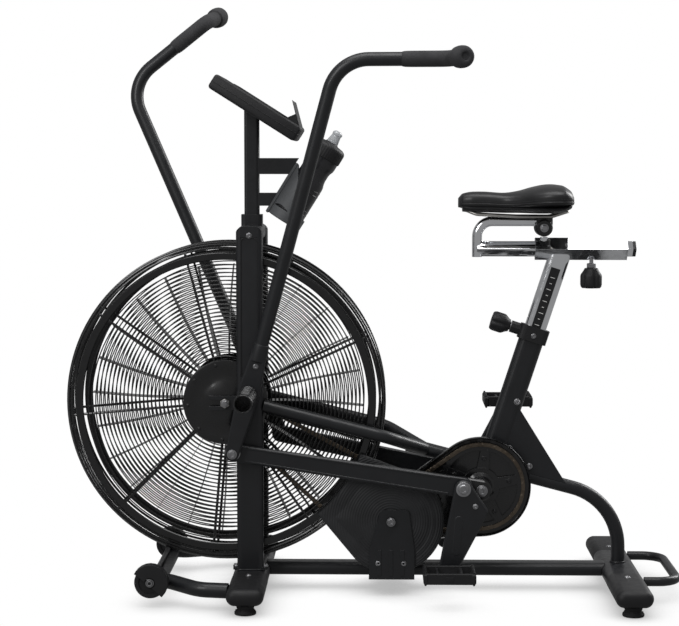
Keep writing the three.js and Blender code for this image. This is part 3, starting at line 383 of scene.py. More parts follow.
# ---------- fan cage ----------
def cage_half(side, name):
    """Dense wire rings on a flat face, spokes that fold over the rim, a flat band and four rim wires."""
    wires = []
    face_y = side * 0.0655
    radius = 0.0965
    while radius < 0.294:
        wires.append(tube(ring_points(radius, face_y, 132), 0.00135, 6, closed=True))
        radius += 0.0083
    for rim_radius, y in ((0.3215, 0.0610), (0.3275, 0.0560), (0.3312, 0.0480), (0.3295, 0.0042)):
        wires.append(tube(ring_points(rim_radius, side * y, 140), 0.0026, 8, closed=True))
    for k in range(9):
        turn = math.radians(25 + 40 * k)
        out = Vector((math.cos(turn), 0, math.sin(turn)))
        corner = [FAN + out * 0.080 + Vector((0, side * 0.0632, 0)), FAN + out * 0.318 + Vector((0, side * 0.0632, 0)),
                  FAN + out * 0.3275 + Vector((0, side * 0.0500, 0)),
                  FAN + out * 0.3275 + Vector((0, side * 0.0022, 0))]
        wires.append(tube(route(corner, 0.006, 5), 0.0028, 8))
        clip = brick(FAN + out * 0.3265 + Vector((0, side * 0.0052, 0)), (0.006, 0.006, 0.016), 0.001,
                     Matrix.Rotation(-turn, 4, "Y"))
        wires.append(clip)
    piece(f"{name}_cage_wires", *merged(*wires), GLOSS, "frame", "gloss_black", replaces=[f"{name}_fan_cage"])
    band = []
    for k in range(180):
        t = 2 * math.pi * k / 180
        ring = []
        for r, y in ((0.298, 0.0645), (0.3105, 0.0645), (0.3125, 0.0635), (0.3135, 0.0610), (0.3125, 0.0635 + 0.0022),
                     (0.3105, 0.0675), (0.298, 0.0675), (0.2965, 0.066)):
            ring.append(Vector((FAN.x + r * math.cos(t), side * y, FAN.z + r * math.sin(t))))
        band.append(ring)
    piece(f"{name}_cage_band", *skin(band, closed=True), GLOSS, "frame", "gloss_black")
    disc = facing_y(lathe([(0.088, 0), (0.0885, 0.001), (0.088, 0.0028), (0.086, 0.0034), (0.072, 0.0034),
                           (0.070, 0.0024), (0.046, 0.0022), (0.044, 0.0034), (0.0085, 0.0036)], 72),
                    FAN.x, FAN.z, 0.0640, side)
    rivets = [bolt(FAN.x + 0.079 * math.cos(a), FAN.z + 0.079 * math.sin(a), 0.0672, side, 0.0028, 0.0022, False)
              for a in (2 * math.pi * k / 9 + math.radians(25) for k in range(9))]
    piece(f"{name}_hub_plate", *merged(disc, *rivets), GLOSS, "frame", "gloss_black")


for side, name in SIDES:
    cage_half(side, name)
TOP_CLIP = brick((FAN.x + 0.02, 0, FAN.z + 0.3285), (0.022, 0.016, 0.007), 0.002)
piece("cage_top_clip", *TOP_CLIP, PLASTIC, "frame", "black_plastic")


# ---------- fan ----------
def fan_wheel():
    blades = []
    for k in range(24):
        turn = Matrix.Rotation(2 * math.pi * k / 24 + 0.05, 4, "Y")
        rows = []
        for step in range(9):
            share = step / 8
            r = 0.074 + share * 0.212
            half = 0.019 - 0.003 * share
            curl = 0.0035 * math.sin(share * math.pi)
            rows.append([Vector((r, y, curl + z)) for y, z in
                         ((-half, 0), (half, 0), (half, 0.0012), (-half, 0.0012))])
        verts, faces = skin(rows)
        blades.append(moved((verts, faces), Matrix.Translation(FAN) @ turn))
    hub = facing_y(lathe([(0.010, -0.052), (0.0215, -0.051), (0.022, -0.012), (0.03, -0.004), (0.084, -0.0015),
                          (0.0845, 0.0015), (0.03, 0.004), (0.022, 0.012), (0.0215, 0.051), (0.010, 0.052)], 60),
                   FAN.x, FAN.z, 0, 1)
    return merged(hub, *blades)


def toothed(x, z, teeth, y, half=0.0012, inner=None):
    """A sprocket with round roots and pointed teeth."""
    pitch = PITCH / (2 * math.sin(math.pi / teeth))
    outline = []
    for i in range(teeth):
        for share, height in ((0, -0.0036), (0.12, -0.003), (0.26, -0.0005), (0.42, 0.0022), (0.5, 0.0026),
                              (0.58, 0.0022), (0.74, -0.0005), (0.88, -0.003)):
            a = 2 * math.pi * (i + share) / teeth
            outline.append((x + (pitch + height) * math.cos(a), z + (pitch + height) * math.sin(a)))
    if not inner:
        return plate(outline, y - half, y + half, 0.0004)
    hole = [(x + inner * math.cos(2 * math.pi * k / len(outline)), z + inner * math.sin(2 * math.pi * k / len(outline)))
            for k in range(len(outline))]
    rings = [[Vector((px, py, pz)) for px, pz in ring] for ring, py in
             ((outline, y - half), (outline, y + half), (hole, y + half), (hole, y - half))]
    return skin(rings, closed=True)


piece("fan_wheel", *merged(fan_wheel(), toothed(FAN.x, FAN.z, FAN_TEETH, FAN_CHAIN_Y)), GLOSS, "fan_body",
      "gloss_black",
      replaces=["fan"])


# ---------- chains ----------
def loop_path(a, teeth_a, b, teeth_b):
    """The pitch line of a chain round two sprockets, as points about one chain pitch apart."""
    ra, rb = (PITCH / (2 * math.sin(math.pi / t)) for t in (teeth_a, teeth_b))
    outline = hull([(a.x, a.z, ra), (b.x, b.z, rb)], 240)
    lengths = [0.0]
    for i in range(len(outline)):
        p, q = outline[i], outline[(i + 1) % len(outline)]
        lengths.append(lengths[-1] + math.dist(p, q))
    links = round(lengths[-1] / PITCH / 2) * 2
    spots = []
    j = 0
    for k in range(links):
        want = lengths[-1] * k / links
        while lengths[j + 1] < want:
            j += 1
        share = (want - lengths[j]) / (lengths[j + 1] - lengths[j])
        p, q = outline[j], outline[(j + 1) % len(outline)]
        spots.append(Vector((p[0] + share * (q[0] - p[0]), 0, p[1] + share * (q[1] - p[1]))))
    return spots


def chain(name, a, teeth_a, b, teeth_b, y):
    spots = loop_path(a, teeth_a, b, teeth_b)
    parts = []
    for i, spot in enumerate(spots):
        after = spots[(i + 1) % len(spots)]
        ahead = after - spot
        lean = math.atan2(-ahead.z, ahead.x)
        gap = 0.0030 if i % 2 else 0.0020
        waist = hull([(0, 0, 0.0041), (ahead.length, 0, 0.0041)], 12)
        for way in (-1, 1):
            link = plate(waist, way * gap, way * (gap + 0.0009), 0.0002)
            parts.append(moved(link, Matrix.Translation((spot.x, y, spot.z)) @ Matrix.Rotation(lean, 4, "Y")))
        parts.append(drum(spot.x, spot.z, y - 0.0040, y + 0.0040, 0.0017, soft=0.0003, segments=8))
    piece(name + "_links", *merged(*parts), CHAIN, "frame", "steel", replaces=[name])


chain("crank_chain", CRANK, CHAINRING_TEETH, JACK, JACK_SMALL, CRANK_CHAIN_Y)
chain("fan_chain", JACK, JACK_LARGE, FAN, FAN_TEETH, FAN_CHAIN_Y)


# ---------- levers, grips and rods ----------
def lever_corners(side):
    rise = LEAN[-1]

    def reach(distance, y):
        return (distance * math.cos(rise), side * y, 0.6995 + distance * math.sin(rise))

    return [(0, side * 0.133, 0.082), (0, side * 0.190, 0.6995), reach(0.218, 0.207), reach(0.242, 0.2745)]


for side, name in SIDES:
    here = placed(PIVOT.x, PIVOT.z, LEAN[side])
    body = f"{name}_lever_body"
    corners = lever_corners(side)
    path = route(corners, [0.082, 0.026], 14)
    casting = plate(hull([(0, 0, 0.023), (0, 0.092, 0.015)], 56), side * 0.122, side * 0.145, 0.003)
    lower = plate(hull([(0, 0, 0.023), (0, -0.1285, 0.014)], 56), side * 0.122, side * 0.140, 0.003)
    slope = math.atan2(0.057, 0.6175)
    socket = lathe([(0.0150, 0), (0.0172, 0.002), (0.0166, 0.030), (0.0154, 0.036), (0.0141, 0.0365)], 36)
    lean_out = Matrix.Translation((0, side * 0.1326, 0.070)) @ Matrix.Rotation(-side * slope, 4, "X")
    parts = merged(tube(path, 0.014, 32), casting, lower, moved(socket, lean_out))
    piece(f"{name}_lever_tube", *moved(parts, here), PAINT, body, "black_paint", replaces=[f"{name}_lever"])
    hardware = [bolt(0, -0.1285, 0.1395, side, 0.0075, 0.0055),
                bolt(0, 0.060, 0.1445, side, 0.0042, 0.003), bolt(0, 0.082, 0.1445, side, 0.0042, 0.003),
                drum(0, -0.1285, 0.1030, 0.1215, 0.0075, side)]
    piece(f"{name}_lever_bolts", *moved(merged(*hardware), here), ZINC, body, "steel")
    corner, knee, tip = (Vector(c) for c in corners[1:])
    start = corner + (knee - corner).normalized() * 0.128
    sleeve = route([start, knee, tip], 0.026, 14)
    dense = []
    for i in range(len(sleeve) - 1):
        steps = max(1, round((sleeve[i + 1] - sleeve[i]).length / 0.004))
        dense.extend(sleeve[i].lerp(sleeve[i + 1], k / steps) for k in range(steps))
    dense.append(sleeve[-1])
    radii = [0.0161 - 0.0016 * math.exp(-i / 1.2) for i in range(len(dense))]
    outward = (tip - knee).normalized()
    turn = Matrix.Translation(tip) @ outward.to_track_quat("Z", "Y").to_matrix().to_4x4()
    profile = [(0.0160, -0.0215), (0.0195, -0.0195), (0.0212, -0.014), (0.0220, -0.006), (0.0221, 0.003),
               (0.0215, 0.010), (0.0195, 0.016), (0.0155, 0.0203), (0.0100, 0.0214), (0.0085, 0.0206), (0.0075, 0.0185),
               (0.001, 0.0180)]
    foam = merged(tube(dense, radii, 32), moved(lathe(profile, 44), turn))
    piece(f"{name}_grip_foam", *moved(foam, here), FOAM, body, "grip_foam", replaces=[f"{name}_grip"])

PIN_LEAD = math.radians(189.3)


def crank_spot(x, z):
    return placed(CRANK.x, CRANK.z, CRANK_LEAN) @ Vector((x, 0, z))


def pin_of(side):
    turn = PIN_LEAD + (0 if side < 0 else math.pi)
    return THROW * math.cos(turn), THROW * math.sin(turn)


for side, name in SIDES:
    lean = LEAN[side]
    joint = Vector((PIVOT.x - 0.1285 * math.sin(lean), 0, PIVOT.z - 0.1285 * math.cos(lean)))
    reach = crank_spot(*pin_of(side)) - joint
    here = placed(joint.x, joint.z, math.atan2(-reach.z, reach.x))
    length = reach.length
    outline = hull([(0, 0, 0.0175), (length, 0, 0.0205)], 64)
    bar = plate(outline, side * 0.103, side * 0.119, 0.0022)
    flanges = [plate(hull([(0.03, way * 0.0135, 0.0018), (length - 0.03, way * 0.0160, 0.0018)], 16),
                     side * 0.1185, side * 0.1200, 0.0005) for way in (-1, 1)]
    piece(f"{name}_drive_rod", *moved(merged(bar, *flanges), here), PAINT, f"{name}_rod_body", "black_paint",
          replaces=[f"{name}_rod"])
    rings = [facing_y(lathe([(0.0155, 0), (0.0158, 0.001), (0.0150, 0.0016), (0.0095, 0.0016), (0.009, 0.0006)], 40),
                      x, 0, 0.1186, side) for x in (0, length)]
    piece(f"{name}_rod_bearings", *moved(merged(*rings), here), ZINC, f"{name}_rod_body", "steel")


# ---------- cranks and pedals ----------
crank_here = placed(CRANK.x, CRANK.z, CRANK_LEAN)


def ring_plate(inner, outer, y0, y1, segments=72):
    profile = [(inner, 0), (outer, 0), (outer + 0.0004, 0.0005), (outer, abs(y1 - y0)), (inner, abs(y1 - y0))]
    rings = [[Vector((r * math.cos(a), min(y0, y1) + h, r * math.sin(a))) for r, h in profile]
             for a in turns(segments)]
    return skin(rings, closed=True)


chainring = [toothed(0, 0, CHAINRING_TEETH, CRANK_CHAIN_Y, inner=0.0765), ring_plate(0.024, 0.040, -0.0415, -0.0385)]
for k in range(5):
    turn = Matrix.Rotation(2 * math.pi * k / 5 + 0.63, 4, "Y")
    spoke = plate([(0.036, -0.013), (0.078, -0.0095), (0.078, 0.0095), (0.036, 0.013)], -0.0413, -0.0387, 0.0006)
    chainring.append(moved(spoke, turn))
    chainring.append(moved(bolt(0.0605, 0, 0.0412, -1, 0.0042, 0.003), turn))
chainring.append(facing_y(lathe([(0.030, 0), (0.030, 0.006), (0.024, 0.010), (0.021, 0.030), (0.013, 0.032)], 48),
                          0, 0, 0.0385, -1))
for side, _ in SIDES:
    pin = pin_of(side)
    web = plate(hull([(0, 0, 0.021), (pin[0], pin[1], 0.017)], 56), side * 0.075, side * 0.092, 0.0025)
    chainring.extend([web, drum(0, 0, side * 0.03, side * 0.076, 0.012)])
piece("crankset_look", *moved(merged(*chainring), crank_here), GLOSS, "crank", "gloss_black", replaces=["crankset"])
for side, name in SIDES:
    pin = pin_of(side)
    foot = (0, side * CRANK_LENGTH)
    outline = hull([(*pin, 0.018), (-0.013 * side, 0.034 * side, 0.013), (*foot, 0.019)], 64)
    arm = plate(outline, side * 0.121, side * 0.137, 0.003)
    groove = plate(hull([(pin[0] * 0.55, pin[1] + side * 0.062, 0.0085), (foot[0], foot[1] - side * 0.040, 0.008)], 32),
                   side * 0.1355, side * 0.1376, 0.0008)
    boss = drum(*foot, side * 0.136, side * 0.1410, 0.0125, side)
    piece(f"{name}_crank_arm", *moved(merged(arm, groove, boss), crank_here), PAINT, "crank", "black_paint",
          replaces=[f"{name}_pedal_arm"])
    small = [bolt(0.0, 0.0, 0.092, side, 0.009, 0.006)]
    metal = [bolt(*pin, 0.1366, side, 0.0100, 0.0050), drum(*foot, side * 0.140, side * 0.147, 0.0068, side),
             bolt(pin[0] * 0.1, pin[1] + side * 0.022, 0.1366, side, 0.0042, 0.0030),
             ring_plate(0.0125, 0.0150, side * 0.1368, side * 0.1378)]
    metal[-1] = moved(metal[-1], Matrix.Translation((pin[0], 0, pin[1])))
    piece(f"{name}_crank_bolts", *moved(merged(*small, *metal), crank_here), ZINC, "crank", "steel")


def pedal_look(side, name):
    """A cage pedal: a barrel on the spindle, two toothed cage plates and three holes in the outer edge."""
    centre = crank_spot(0, side * CRANK_LENGTH)
    body = f"{name}_pedal_body"
    parts = []
    parts.append(drum(centre.x, centre.z, side * 0.144, side * 0.226, 0.0125, side))
    for y in (side * 0.152, side * 0.2275):
        parts.append(plate(rounded(0.104, 0.022, 0.006, centre.x, centre.z), y - 0.004, y + 0.004, 0.001))
    for way in (-1, 1):
        x = centre.x + way * 0.0485
        parts.append(brick((x, side * 0.189, centre.z), (0.009, 0.088, 0.019), 0.0015))
        for k in range(7):
            y = side * (0.154 + k * 0.0117)
            for up in (-1, 1):
                tooth = [(x - 0.004, up * 0.009 + centre.z), (x + 0.004, up * 0.009 + centre.z),
                         (x + 0.0014, up * 0.0142 + centre.z), (x - 0.0014, up * 0.0142 + centre.z)]
                parts.append(plate(tooth, y - 0.003, y + 0.003, 0.0004))
        parts.append(brick((centre.x + way * 0.024, side * 0.189, centre.z), (0.006, 0.078, 0.014), 0.001))
    piece(f"{name}_pedal_cage", *merged(*parts), PLASTIC, body, "black_plastic", replaces=[f"{name}_pedal"])
    holes = [drum(centre.x + dx, centre.z, side * 0.2312, side * 0.2318, 0.0065, side) for dx in (-0.034, 0, 0.034)]
    reflect = brick((centre.x, side * 0.2316, centre.z), (0.016, 0.0016, 0.009), 0.0004)
    piece(f"{name}_pedal_marks", *merged(*holes, reflect), RUBBER, body, "black_rubber")


for side, name in SIDES:
    pedal_look(side, name)


# ---------- frame tubes ----------
def smooth_tube(name, node, corners, bends, radius, look=PAINT, extra=()):
    parts = merged(tube(route(corners, bends, 14), radius, 36), *extra)
    return piece(name, *parts, look, "frame", "black_paint", replaces=[node])


smooth_tube("main_tube_look", "main_tube", [(0.072, 0, 0.3063), (0.5195, 0, 0.1893), (0.5195, 0, 0.0563)],
            0.1296, 0.0145)
for side, name in SIDES:
    corners = [(-0.2262, side * 0.087, 0.3982), (0.026, side * 0.087, 0.3345), (0.1085, side * 0.0075, 0.2972)]
    smooth_tube(f"{name}_side_tube_look", f"{name}_side_tube", corners, 0.060, 0.013)
smooth_tube("rear_handle_look", "rear_handle",
            [(0.5578, -0.125, 0.042), (0.630, -0.125, 0.042), (0.630, 0.125, 0.042), (0.5578, 0.125, 0.042)],
            0.044, 0.0095)
bracket = []
for side, _ in SIDES:
    arm = route([(-0.292, side * 0.2042, 0.0372), (-0.3515, side * 0.198, 0.038), (-0.414, side * 0.150, 0.043),
                 (-0.436, side * 0.145, 0.045)], [0.070, 0.030], 12)
    bracket.append(tube(arm, 0.0155, 32))
    lug = plate(hull([(-0.451, 0.051, 0.010), (-0.430, 0.044, 0.009)], 32), side * 0.150, side * 0.173, 0.0015)
    bracket.append(lug)
bracket.append(brick((-0.439, 0, 0.041), (0.026, 0.300, 0.010), 0.0012))
bracket.append(drum(-0.451, 0.051, -0.2035, 0.2035, 0.005))
piece("wheel_bracket_look", *merged(*bracket), PAINT, "frame", "black_paint", replaces=["wheel_bracket"])

for side, name in SIDES:
    y = side * 0.188
    tread = lathe([(0.0062, -0.010), (0.010, -0.0112), (0.0105, -0.008), (0.022, -0.0075), (0.0235, -0.0105),
                   (0.0295, -0.011), (0.0318, -0.0092), (0.0325, -0.006), (0.0325, -0.0006), (0.0319, 0),
                   (0.0325, 0.0006), (0.0325, 0.006), (0.0318, 0.0092), (0.0295, 0.011), (0.0235, 0.0105),
                   (0.022, 0.0075), (0.0105, 0.008), (0.010, 0.0112), (0.0062, 0.010)], 56)
    piece(f"{name}_wheel_look", *facing_y(tread, -0.451, 0.051, 0.188, side), RUBBER, f"{name}_wheel_body",
          "black_rubber", replaces=[f"{name}_wheel"])
    piece(f"{name}_wheel_bolt", *bolt(-0.451, 0.051, 0.2000, side, 0.0065, 0.005), ZINC, "frame", "steel")


# ---------- floor bars, caps and feet ----------
for end, x in (("front", -0.254), ("rear", 0.520)):
    for side, name in SIDES:
        rings = []
        for y, inset in ((0.1153, 0.0006), (0.1160, 0.0), (0.1168, 0.0), (0.1175, -0.0004), (0.264, -0.0004),
                         (0.271, 0.0012), (0.2755, 0.0040), (0.2785, 0.0080), (0.280, 0.0125)):
            outline = hull([(x - 0.020, 0.0385, 0.0175 - inset), (x + 0.020, 0.0385, 0.0175 - inset)], 56)
            rings.append([Vector((px, side * y, pz)) for px, pz in outline])
        piece(f"{end}_{name}_cap_look", *skin(rings), PLASTIC, "frame", "black_plastic",
              replaces=[f"{end}_{name}_end_cap"])
        screw = moved(bolt(0, 0, 0, 1, 0.0050, 0.0032),
                      Matrix.Translation((x, side * 0.150, 0.0558)) @ Matrix.Rotation(math.radians(90), 4, "X"))
        piece(f"{end}_{name}_cap_screw", *screw, ZINC, "frame", "steel")
        pad = lathe([(0.018, 0.0), (0.0212, 0.0004), (0.022, 0.0016), (0.022, 0.0050), (0.0212, 0.0062),
                     (0.0172, 0.0105), (0.0168, 0.0118), (0.0178, 0.0140), (0.0182, 0.0150), (0.0182, 0.0195),
                     (0.0172, 0.0203), (0.0062, 0.0205), (0.0062, 0.0335), (0.001, 0.0338)], 56)
        ribs = [brick((0.0185 * math.cos(a), 0.0185 * math.sin(a), 0.0072), (0.003, 0.0018, 0.0050), 0.0004,
                      Matrix.Identity(4)) for a in turns(12)]
        piece(f"{end}_{name}_foot_look", *moved(merged(pad, *ribs), Matrix.Translation((x, side * 0.245, 0))),
              RUBBER, "frame", "black_rubber", replaces=[f"{end}_{name}_foot"])

# Weld beads where the tubes meet, and the screws that hold the frame together.
beads = []
for side, _ in SIDES:
    beads.append(tube([Vector((x, side * 0.085 + y, 0.0572)) for x, y in
                       rounded(0.058, 0.031, 0.010, POST_X, 0, 8)], 0.0020, 8, closed=True))
beads.append(tube([Vector((0.5195 + 0.0150 * math.cos(a), 0.0150 * math.sin(a), 0.0570))
                   for a in turns(40)], 0.0020, 8, closed=True))
piece("weld_beads", *merged(*beads), PAINT, "frame", "black_paint")
fixings = []
for side, _ in SIDES:
    for dx in (-0.0300, 0.0300):
        stud = moved(bolt(0, 0, 0, 1, 0.0052, 0.0050, False),
                     Matrix.Translation((POST_X + dx, side * 0.085, 0.0622))
                     @ Matrix.Rotation(math.radians(90), 4, "X"))
        fixings.append(stud)
    for z in (0.455, 0.751):
        fixings.append(bolt(POST_X, z, 0.0988, side, 0.0046, 0.0030))
    fixings.append(bolt(JACK.x + 0.026, 0.070, 0.0918, side, 0.0046, 0.0030))
    fixings.append(bolt(JACK.x - 0.026, 0.070, 0.0918, side, 0.0046, 0.0030))
    fixings.append(bolt(FAN.x, FAN.z, 0.0868, side, 0.0062, 0.0045, False))
    fixings.append(bolt(JACK.x, JACK.z, 0.0978, side, 0.0070, 0.0040))
    fixings.append(bolt(0.288, 0.300, 0.0128, side, 0.0050, 0.0036))
    fixings.append(bolt(0.330, 0.262, 0.0128, side, 0.0050, 0.0036))
    fixings.append(bolt(0.3030, 0.3990, 0.0160, side, 0.0052, 0.0060))
    for k in range(3):
        a = 2 * math.pi * k / 3 + 0.5
        fixings.append(bolt(CRANK.x + 0.0165 * math.cos(a), CRANK.z + 0.0165 * math.sin(a), 0.0338, side,
                            0.0022, 0.0016))
piece("frame_bolts", *merged(*fixings), ZINC, "frame", "steel")

# A raised plain panel frame in each post's recess, and the pegs' ribbed sleeves.
for side, name in SIDES:
    outline = rounded(0.034, 0.286, 0.008, POST_X, 0.603, 8)
    lip = tube([Vector((x, side * 0.0985, z)) for x, z in outline], 0.0011, 8, closed=True)
    piece(f"{name}_post_panel", *lip, PLASTIC, "frame", "black_plastic")
    profile = [(0.0155, 0.0), (0.0186, 0.0004), (0.019, 0.0014), (0.019, 0.006)]
    for k in range(26):
        z = 0.010 + k * 0.0048
        profile.extend([(0.0190, z), (0.0183, z + 0.0008), (0.0183, z + 0.0020), (0.0190, z + 0.0028)])
    profile.extend([(0.019, 0.142), (0.0186, 0.1446), (0.0176, 0.1455), (0.0157, 0.1450), (0.0155, 0.1400),
                    (0.0155, 0.02)])
    rings = lathe(profile, 56)
    journal = drum(PIVOT.x, PIVOT.z, side * 0.072, side * 0.150, 0.0127, side)
    piece(f"{name}_peg_look", *merged(facing_y(rings, PIVOT.x, PIVOT.z, 0.1465, side), journal), GLOSS, "frame",
          "gloss_black", replaces=[f"{name}_foot_peg"])


# ---------- chain guard and cover ----------
def dished(circles, base, depth, steps, name, node, look, slot, side=-1, clear=None):
    """A cover drawn as nested outlines, each [share in from the edge, height]."""
    rings = []
    for inset, height in steps:
        outline = hull([(x, z, r - inset) for x, z, r in circles], 96)
        if clear:
            outline = cut_back(outline, clear, inset)
        samples = resample(outline, 150)
        rings.append([Vector((x, side * (base + height * depth), z)) for x, z in samples])
    piece(name, *skin(rings), look, "frame", slot, replaces=[node])


def resample(outline, count):
    """The outline as an even number of points that start on its right."""
    start = max(range(len(outline)), key=lambda i: outline[i][0])
    outline = outline[start:] + outline[:start]
    lengths = [0.0]
    for i in range(len(outline)):
        lengths.append(lengths[-1] + math.dist(outline[i], outline[(i + 1) % len(outline)]))
    result, j = [], 0
    for k in range(count):
        want = lengths[-1] * k / count
        while lengths[j + 1] < want:
            j += 1
        share = (want - lengths[j]) / (lengths[j + 1] - lengths[j])
        p, q = outline[j], outline[(j + 1) % len(outline)]
        result.append((p[0] + share * (q[0] - p[0]), p[1] + share * (q[1] - p[1])))
    return result


def cut_back(outline, circle, inset):
    """Keeps the part of the outline outside a circle (x, z, radius) and closes it along the circle's arc."""
    x, z, radius = circle
    radius += inset
    outside = [math.dist(p, (x, z)) > radius for p in outline]
    first = next(i for i in range(len(outline)) if outside[i] and not outside[i - 1])
    kept = []
    while outside[(first + len(kept)) % len(outline)]:
        kept.append(outline[(first + len(kept)) % len(outline)])
    begin = math.atan2(kept[-1][1] - z, kept[-1][0] - x)
    end = math.atan2(kept[0][1] - z, kept[0][0] - x)
    arc = [begin + (end - begin) * k / 24 for k in range(25)]
    return kept + [(x + radius * math.cos(t), z + radius * math.sin(t)) for t in arc]


COVER_STEPS = [(0.0045, 0.0), (0.0012, 0.02), (0, 0.12), (0, 0.80), (0.0012, 0.90), (0.005, 0.945), (0.010, 0.95),
               (0.0265, 0.95), (0.0285, 0.93), (0.0305, 0.955), (0.0325, 1.0), (0.055, 1.0), (0.070, 0.995)]
dished([(JACK.x, JACK.z, 0.110), (FAN.x, FAN.z, 0.078)], 0.0702, 0.0180, COVER_STEPS, "chain_cover_look",
       "fan_chain_cover", COVER, "cover_plastic", clear=(FAN.x, FAN.z, 0.3003))
ribs = []
for radius in (0.090, 0.0985, 0.106):
    arc = [Vector((JACK.x + radius * math.cos(a), -0.0872, JACK.z + radius * math.sin(a)))
           for a in (math.radians(-128 + 172 * k / 60) for k in range(61))]
    ribs.append(tube(arc, 0.0008, 6))
ribs.append(ring_plate(0.0125, 0.0240, -0.0874, -0.0892))
ribs[-1] = moved(ribs[-1], Matrix.Translation((JACK.x, 0, JACK.z)))
piece("chain_cover_ribs", *merged(*ribs), COVER, "frame", "cover_plastic")
GUARD_STEPS = [(0.0040, 0.0), (0.0008, 0.05), (0, 0.15), (0, 0.85), (0.0012, 1.0), (0.0028, 0.9), (0.0034, 0.25),
               (0.0060, 0.16), (0.0150, 0.15), (0.0170, 0.2), (0.0190, 0.15), (0.0400, 0.15)]
dished([(CRANK.x, CRANK.z, 0.105), (JACK.x, JACK.z, 0.050)], 0.0334, 0.0146, GUARD_STEPS, "chain_guard_look",
       "crank_chain_guard", GLOSS, "gloss_black")


# ---------- seat ----------
SADDLE = [
    (0.177, 0.0120, 0.803, 0.827), (0.186, 0.0240, 0.799, 0.836), (0.205, 0.0320, 0.797, 0.840),
    (0.240, 0.0360, 0.797, 0.840), (0.275, 0.0420, 0.796, 0.838), (0.305, 0.0600, 0.796, 0.842),
    (0.335, 0.0880, 0.795, 0.850), (0.365, 0.1040, 0.795, 0.855), (0.392, 0.1040, 0.797, 0.853),
    (0.408, 0.0880, 0.803, 0.843), (0.416, 0.0580, 0.808, 0.830),
]


def smooth_row(index, x):
    """A Catmull-Rom value through the saddle's sections."""
    spots = [row[0] for row in SADDLE]
    i = max(0, min(len(spots) - 2, next((k for k in range(len(spots) - 1) if x <= spots[k + 1]), len(spots) - 2)))
    picks = [SADDLE[max(0, min(len(SADDLE) - 1, i + k))][index] for k in (-1, 0, 1, 2)]
    t = (x - spots[i]) / (spots[i + 1] - spots[i])
    a, b, c, d = picks
    return 0.5 * (2 * b + (c - a) * t + (2 * a - 5 * b + 4 * c - d) * t * t + (3 * b - a - 3 * c + d) * t ** 3)


def saddle_pad():
    """The crowned pad: full over the tail, slack along the nose, with a shallow groove down its middle."""
    rings = []
    steps = 74
    for s in range(steps + 1):
        u = s / steps
        x = 0.1775 + (0.4155 - 0.1775) * (0.5 - 0.5 * math.cos(math.pi * u))
        half, low, high = (smooth_row(i, x) for i in (1, 2, 3))
        tip = min(1, 0.18 + 2.6 * math.sqrt(max(0, min(u, 1 - u)) * 2) ** 1.1)
        waist = low + 0.42 * (high - low)
        ring = []
        for k in range(48):
            a = 2 * math.pi * k / 48
            c, q = math.cos(a), math.sin(a)
            y = half * math.copysign(abs(c) ** 0.72, c) * tip
            if q >= 0:
                z = waist + (high - waist) * abs(q) ** 0.62
                z -= 0.0030 * math.exp(-((y / 0.010) ** 2)) * (1 if 0.24 < x < 0.40 else 0.35)
            else:
                z = waist - (waist - low) * 0.62 * abs(q) ** 0.85
            pinch = 1 - 0.030 * math.exp(-(((z - waist) / 0.0026) ** 2))
            ring.append(Vector((x, y * pinch, z)))
        rings.append(ring)
    return skin(rings)


saddle = piece("saddle_pad", *saddle_pad(), LEATHER, "seat_slider_body", "saddle_leather", replaces=["saddle"],
               sharp=80)
smoothing = saddle.modifiers.new("crown", "SUBSURF")
smoothing.levels = smoothing.render_levels = 1


def saddle_rim(share, grow, count=220):
    """Points round the saddle's side at one share of its height."""
    points = []
    for way in (1, -1):
        row = []
        for s in range(count // 2):
            u = (s + 0.5) / (count // 2)
            x = 0.1785 + (0.4145 - 0.1785) * (0.5 - 0.5 * math.cos(math.pi * u))
            half, low, high = (smooth_row(i, x) for i in (1, 2, 3))
            tip = min(1, 0.18 + 2.6 * math.sqrt(max(0, min(u, 1 - u)) * 2) ** 1.1)
            row.append(Vector((x, way * (half * tip * 0.985 + grow), low + share * (high - low))))
        points.extend(row if way > 0 else row[::-1])
    return points


piece("saddle_piping", *tube(saddle_rim(0.40, 0.0004), 0.0013, 8, closed=True), LEATHER, "seat_slider_body",
      "saddle_leather")
rim = saddle_rim(0.50, 0.0002, 300)
stitches = [tube([rim[i], rim[i].lerp(rim[i + 1], 0.55)], 0.0005, 5) for i in range(0, len(rim) - 1)
            if (rim[i + 1] - rim[i]).length > 0.0006]
piece("saddle_stitches", *merged(*stitches), THREAD, "seat_slider_body", "saddle_leather")
base_rings = []
for s in range(41):
    u = s / 40
    x = 0.186 + (0.410 - 0.186) * (0.5 - 0.5 * math.cos(math.pi * u))
    half, low, _ = (smooth_row(i, x) for i in (1, 2, 3))
    tip = min(1, 0.2 + 2.4 * math.sqrt(max(0, min(u, 1 - u)) * 2)) * 0.90
    base_rings.append([Vector((x, half * tip * math.cos(a), low + 0.0085 + 0.0095 * math.sin(a)))
                       for a in turns(32)])
piece("saddle_base", *skin(base_rings), PLASTIC, "seat_slider_body", "black_plastic")
rails = []
for side, _ in SIDES:
    rails.append(tube(route([(0.196, side * 0.010, 0.8000), (0.215, side * 0.017, 0.7925),
                             (0.300, side * 0.022, 0.7880),
                             (0.372, side * 0.022, 0.7880), (0.404, side * 0.046, 0.8000)], 0.020, 8), 0.0035, 14))
piece("saddle_rails", *merged(*rails), STEEL, "seat_slider_body", "steel")

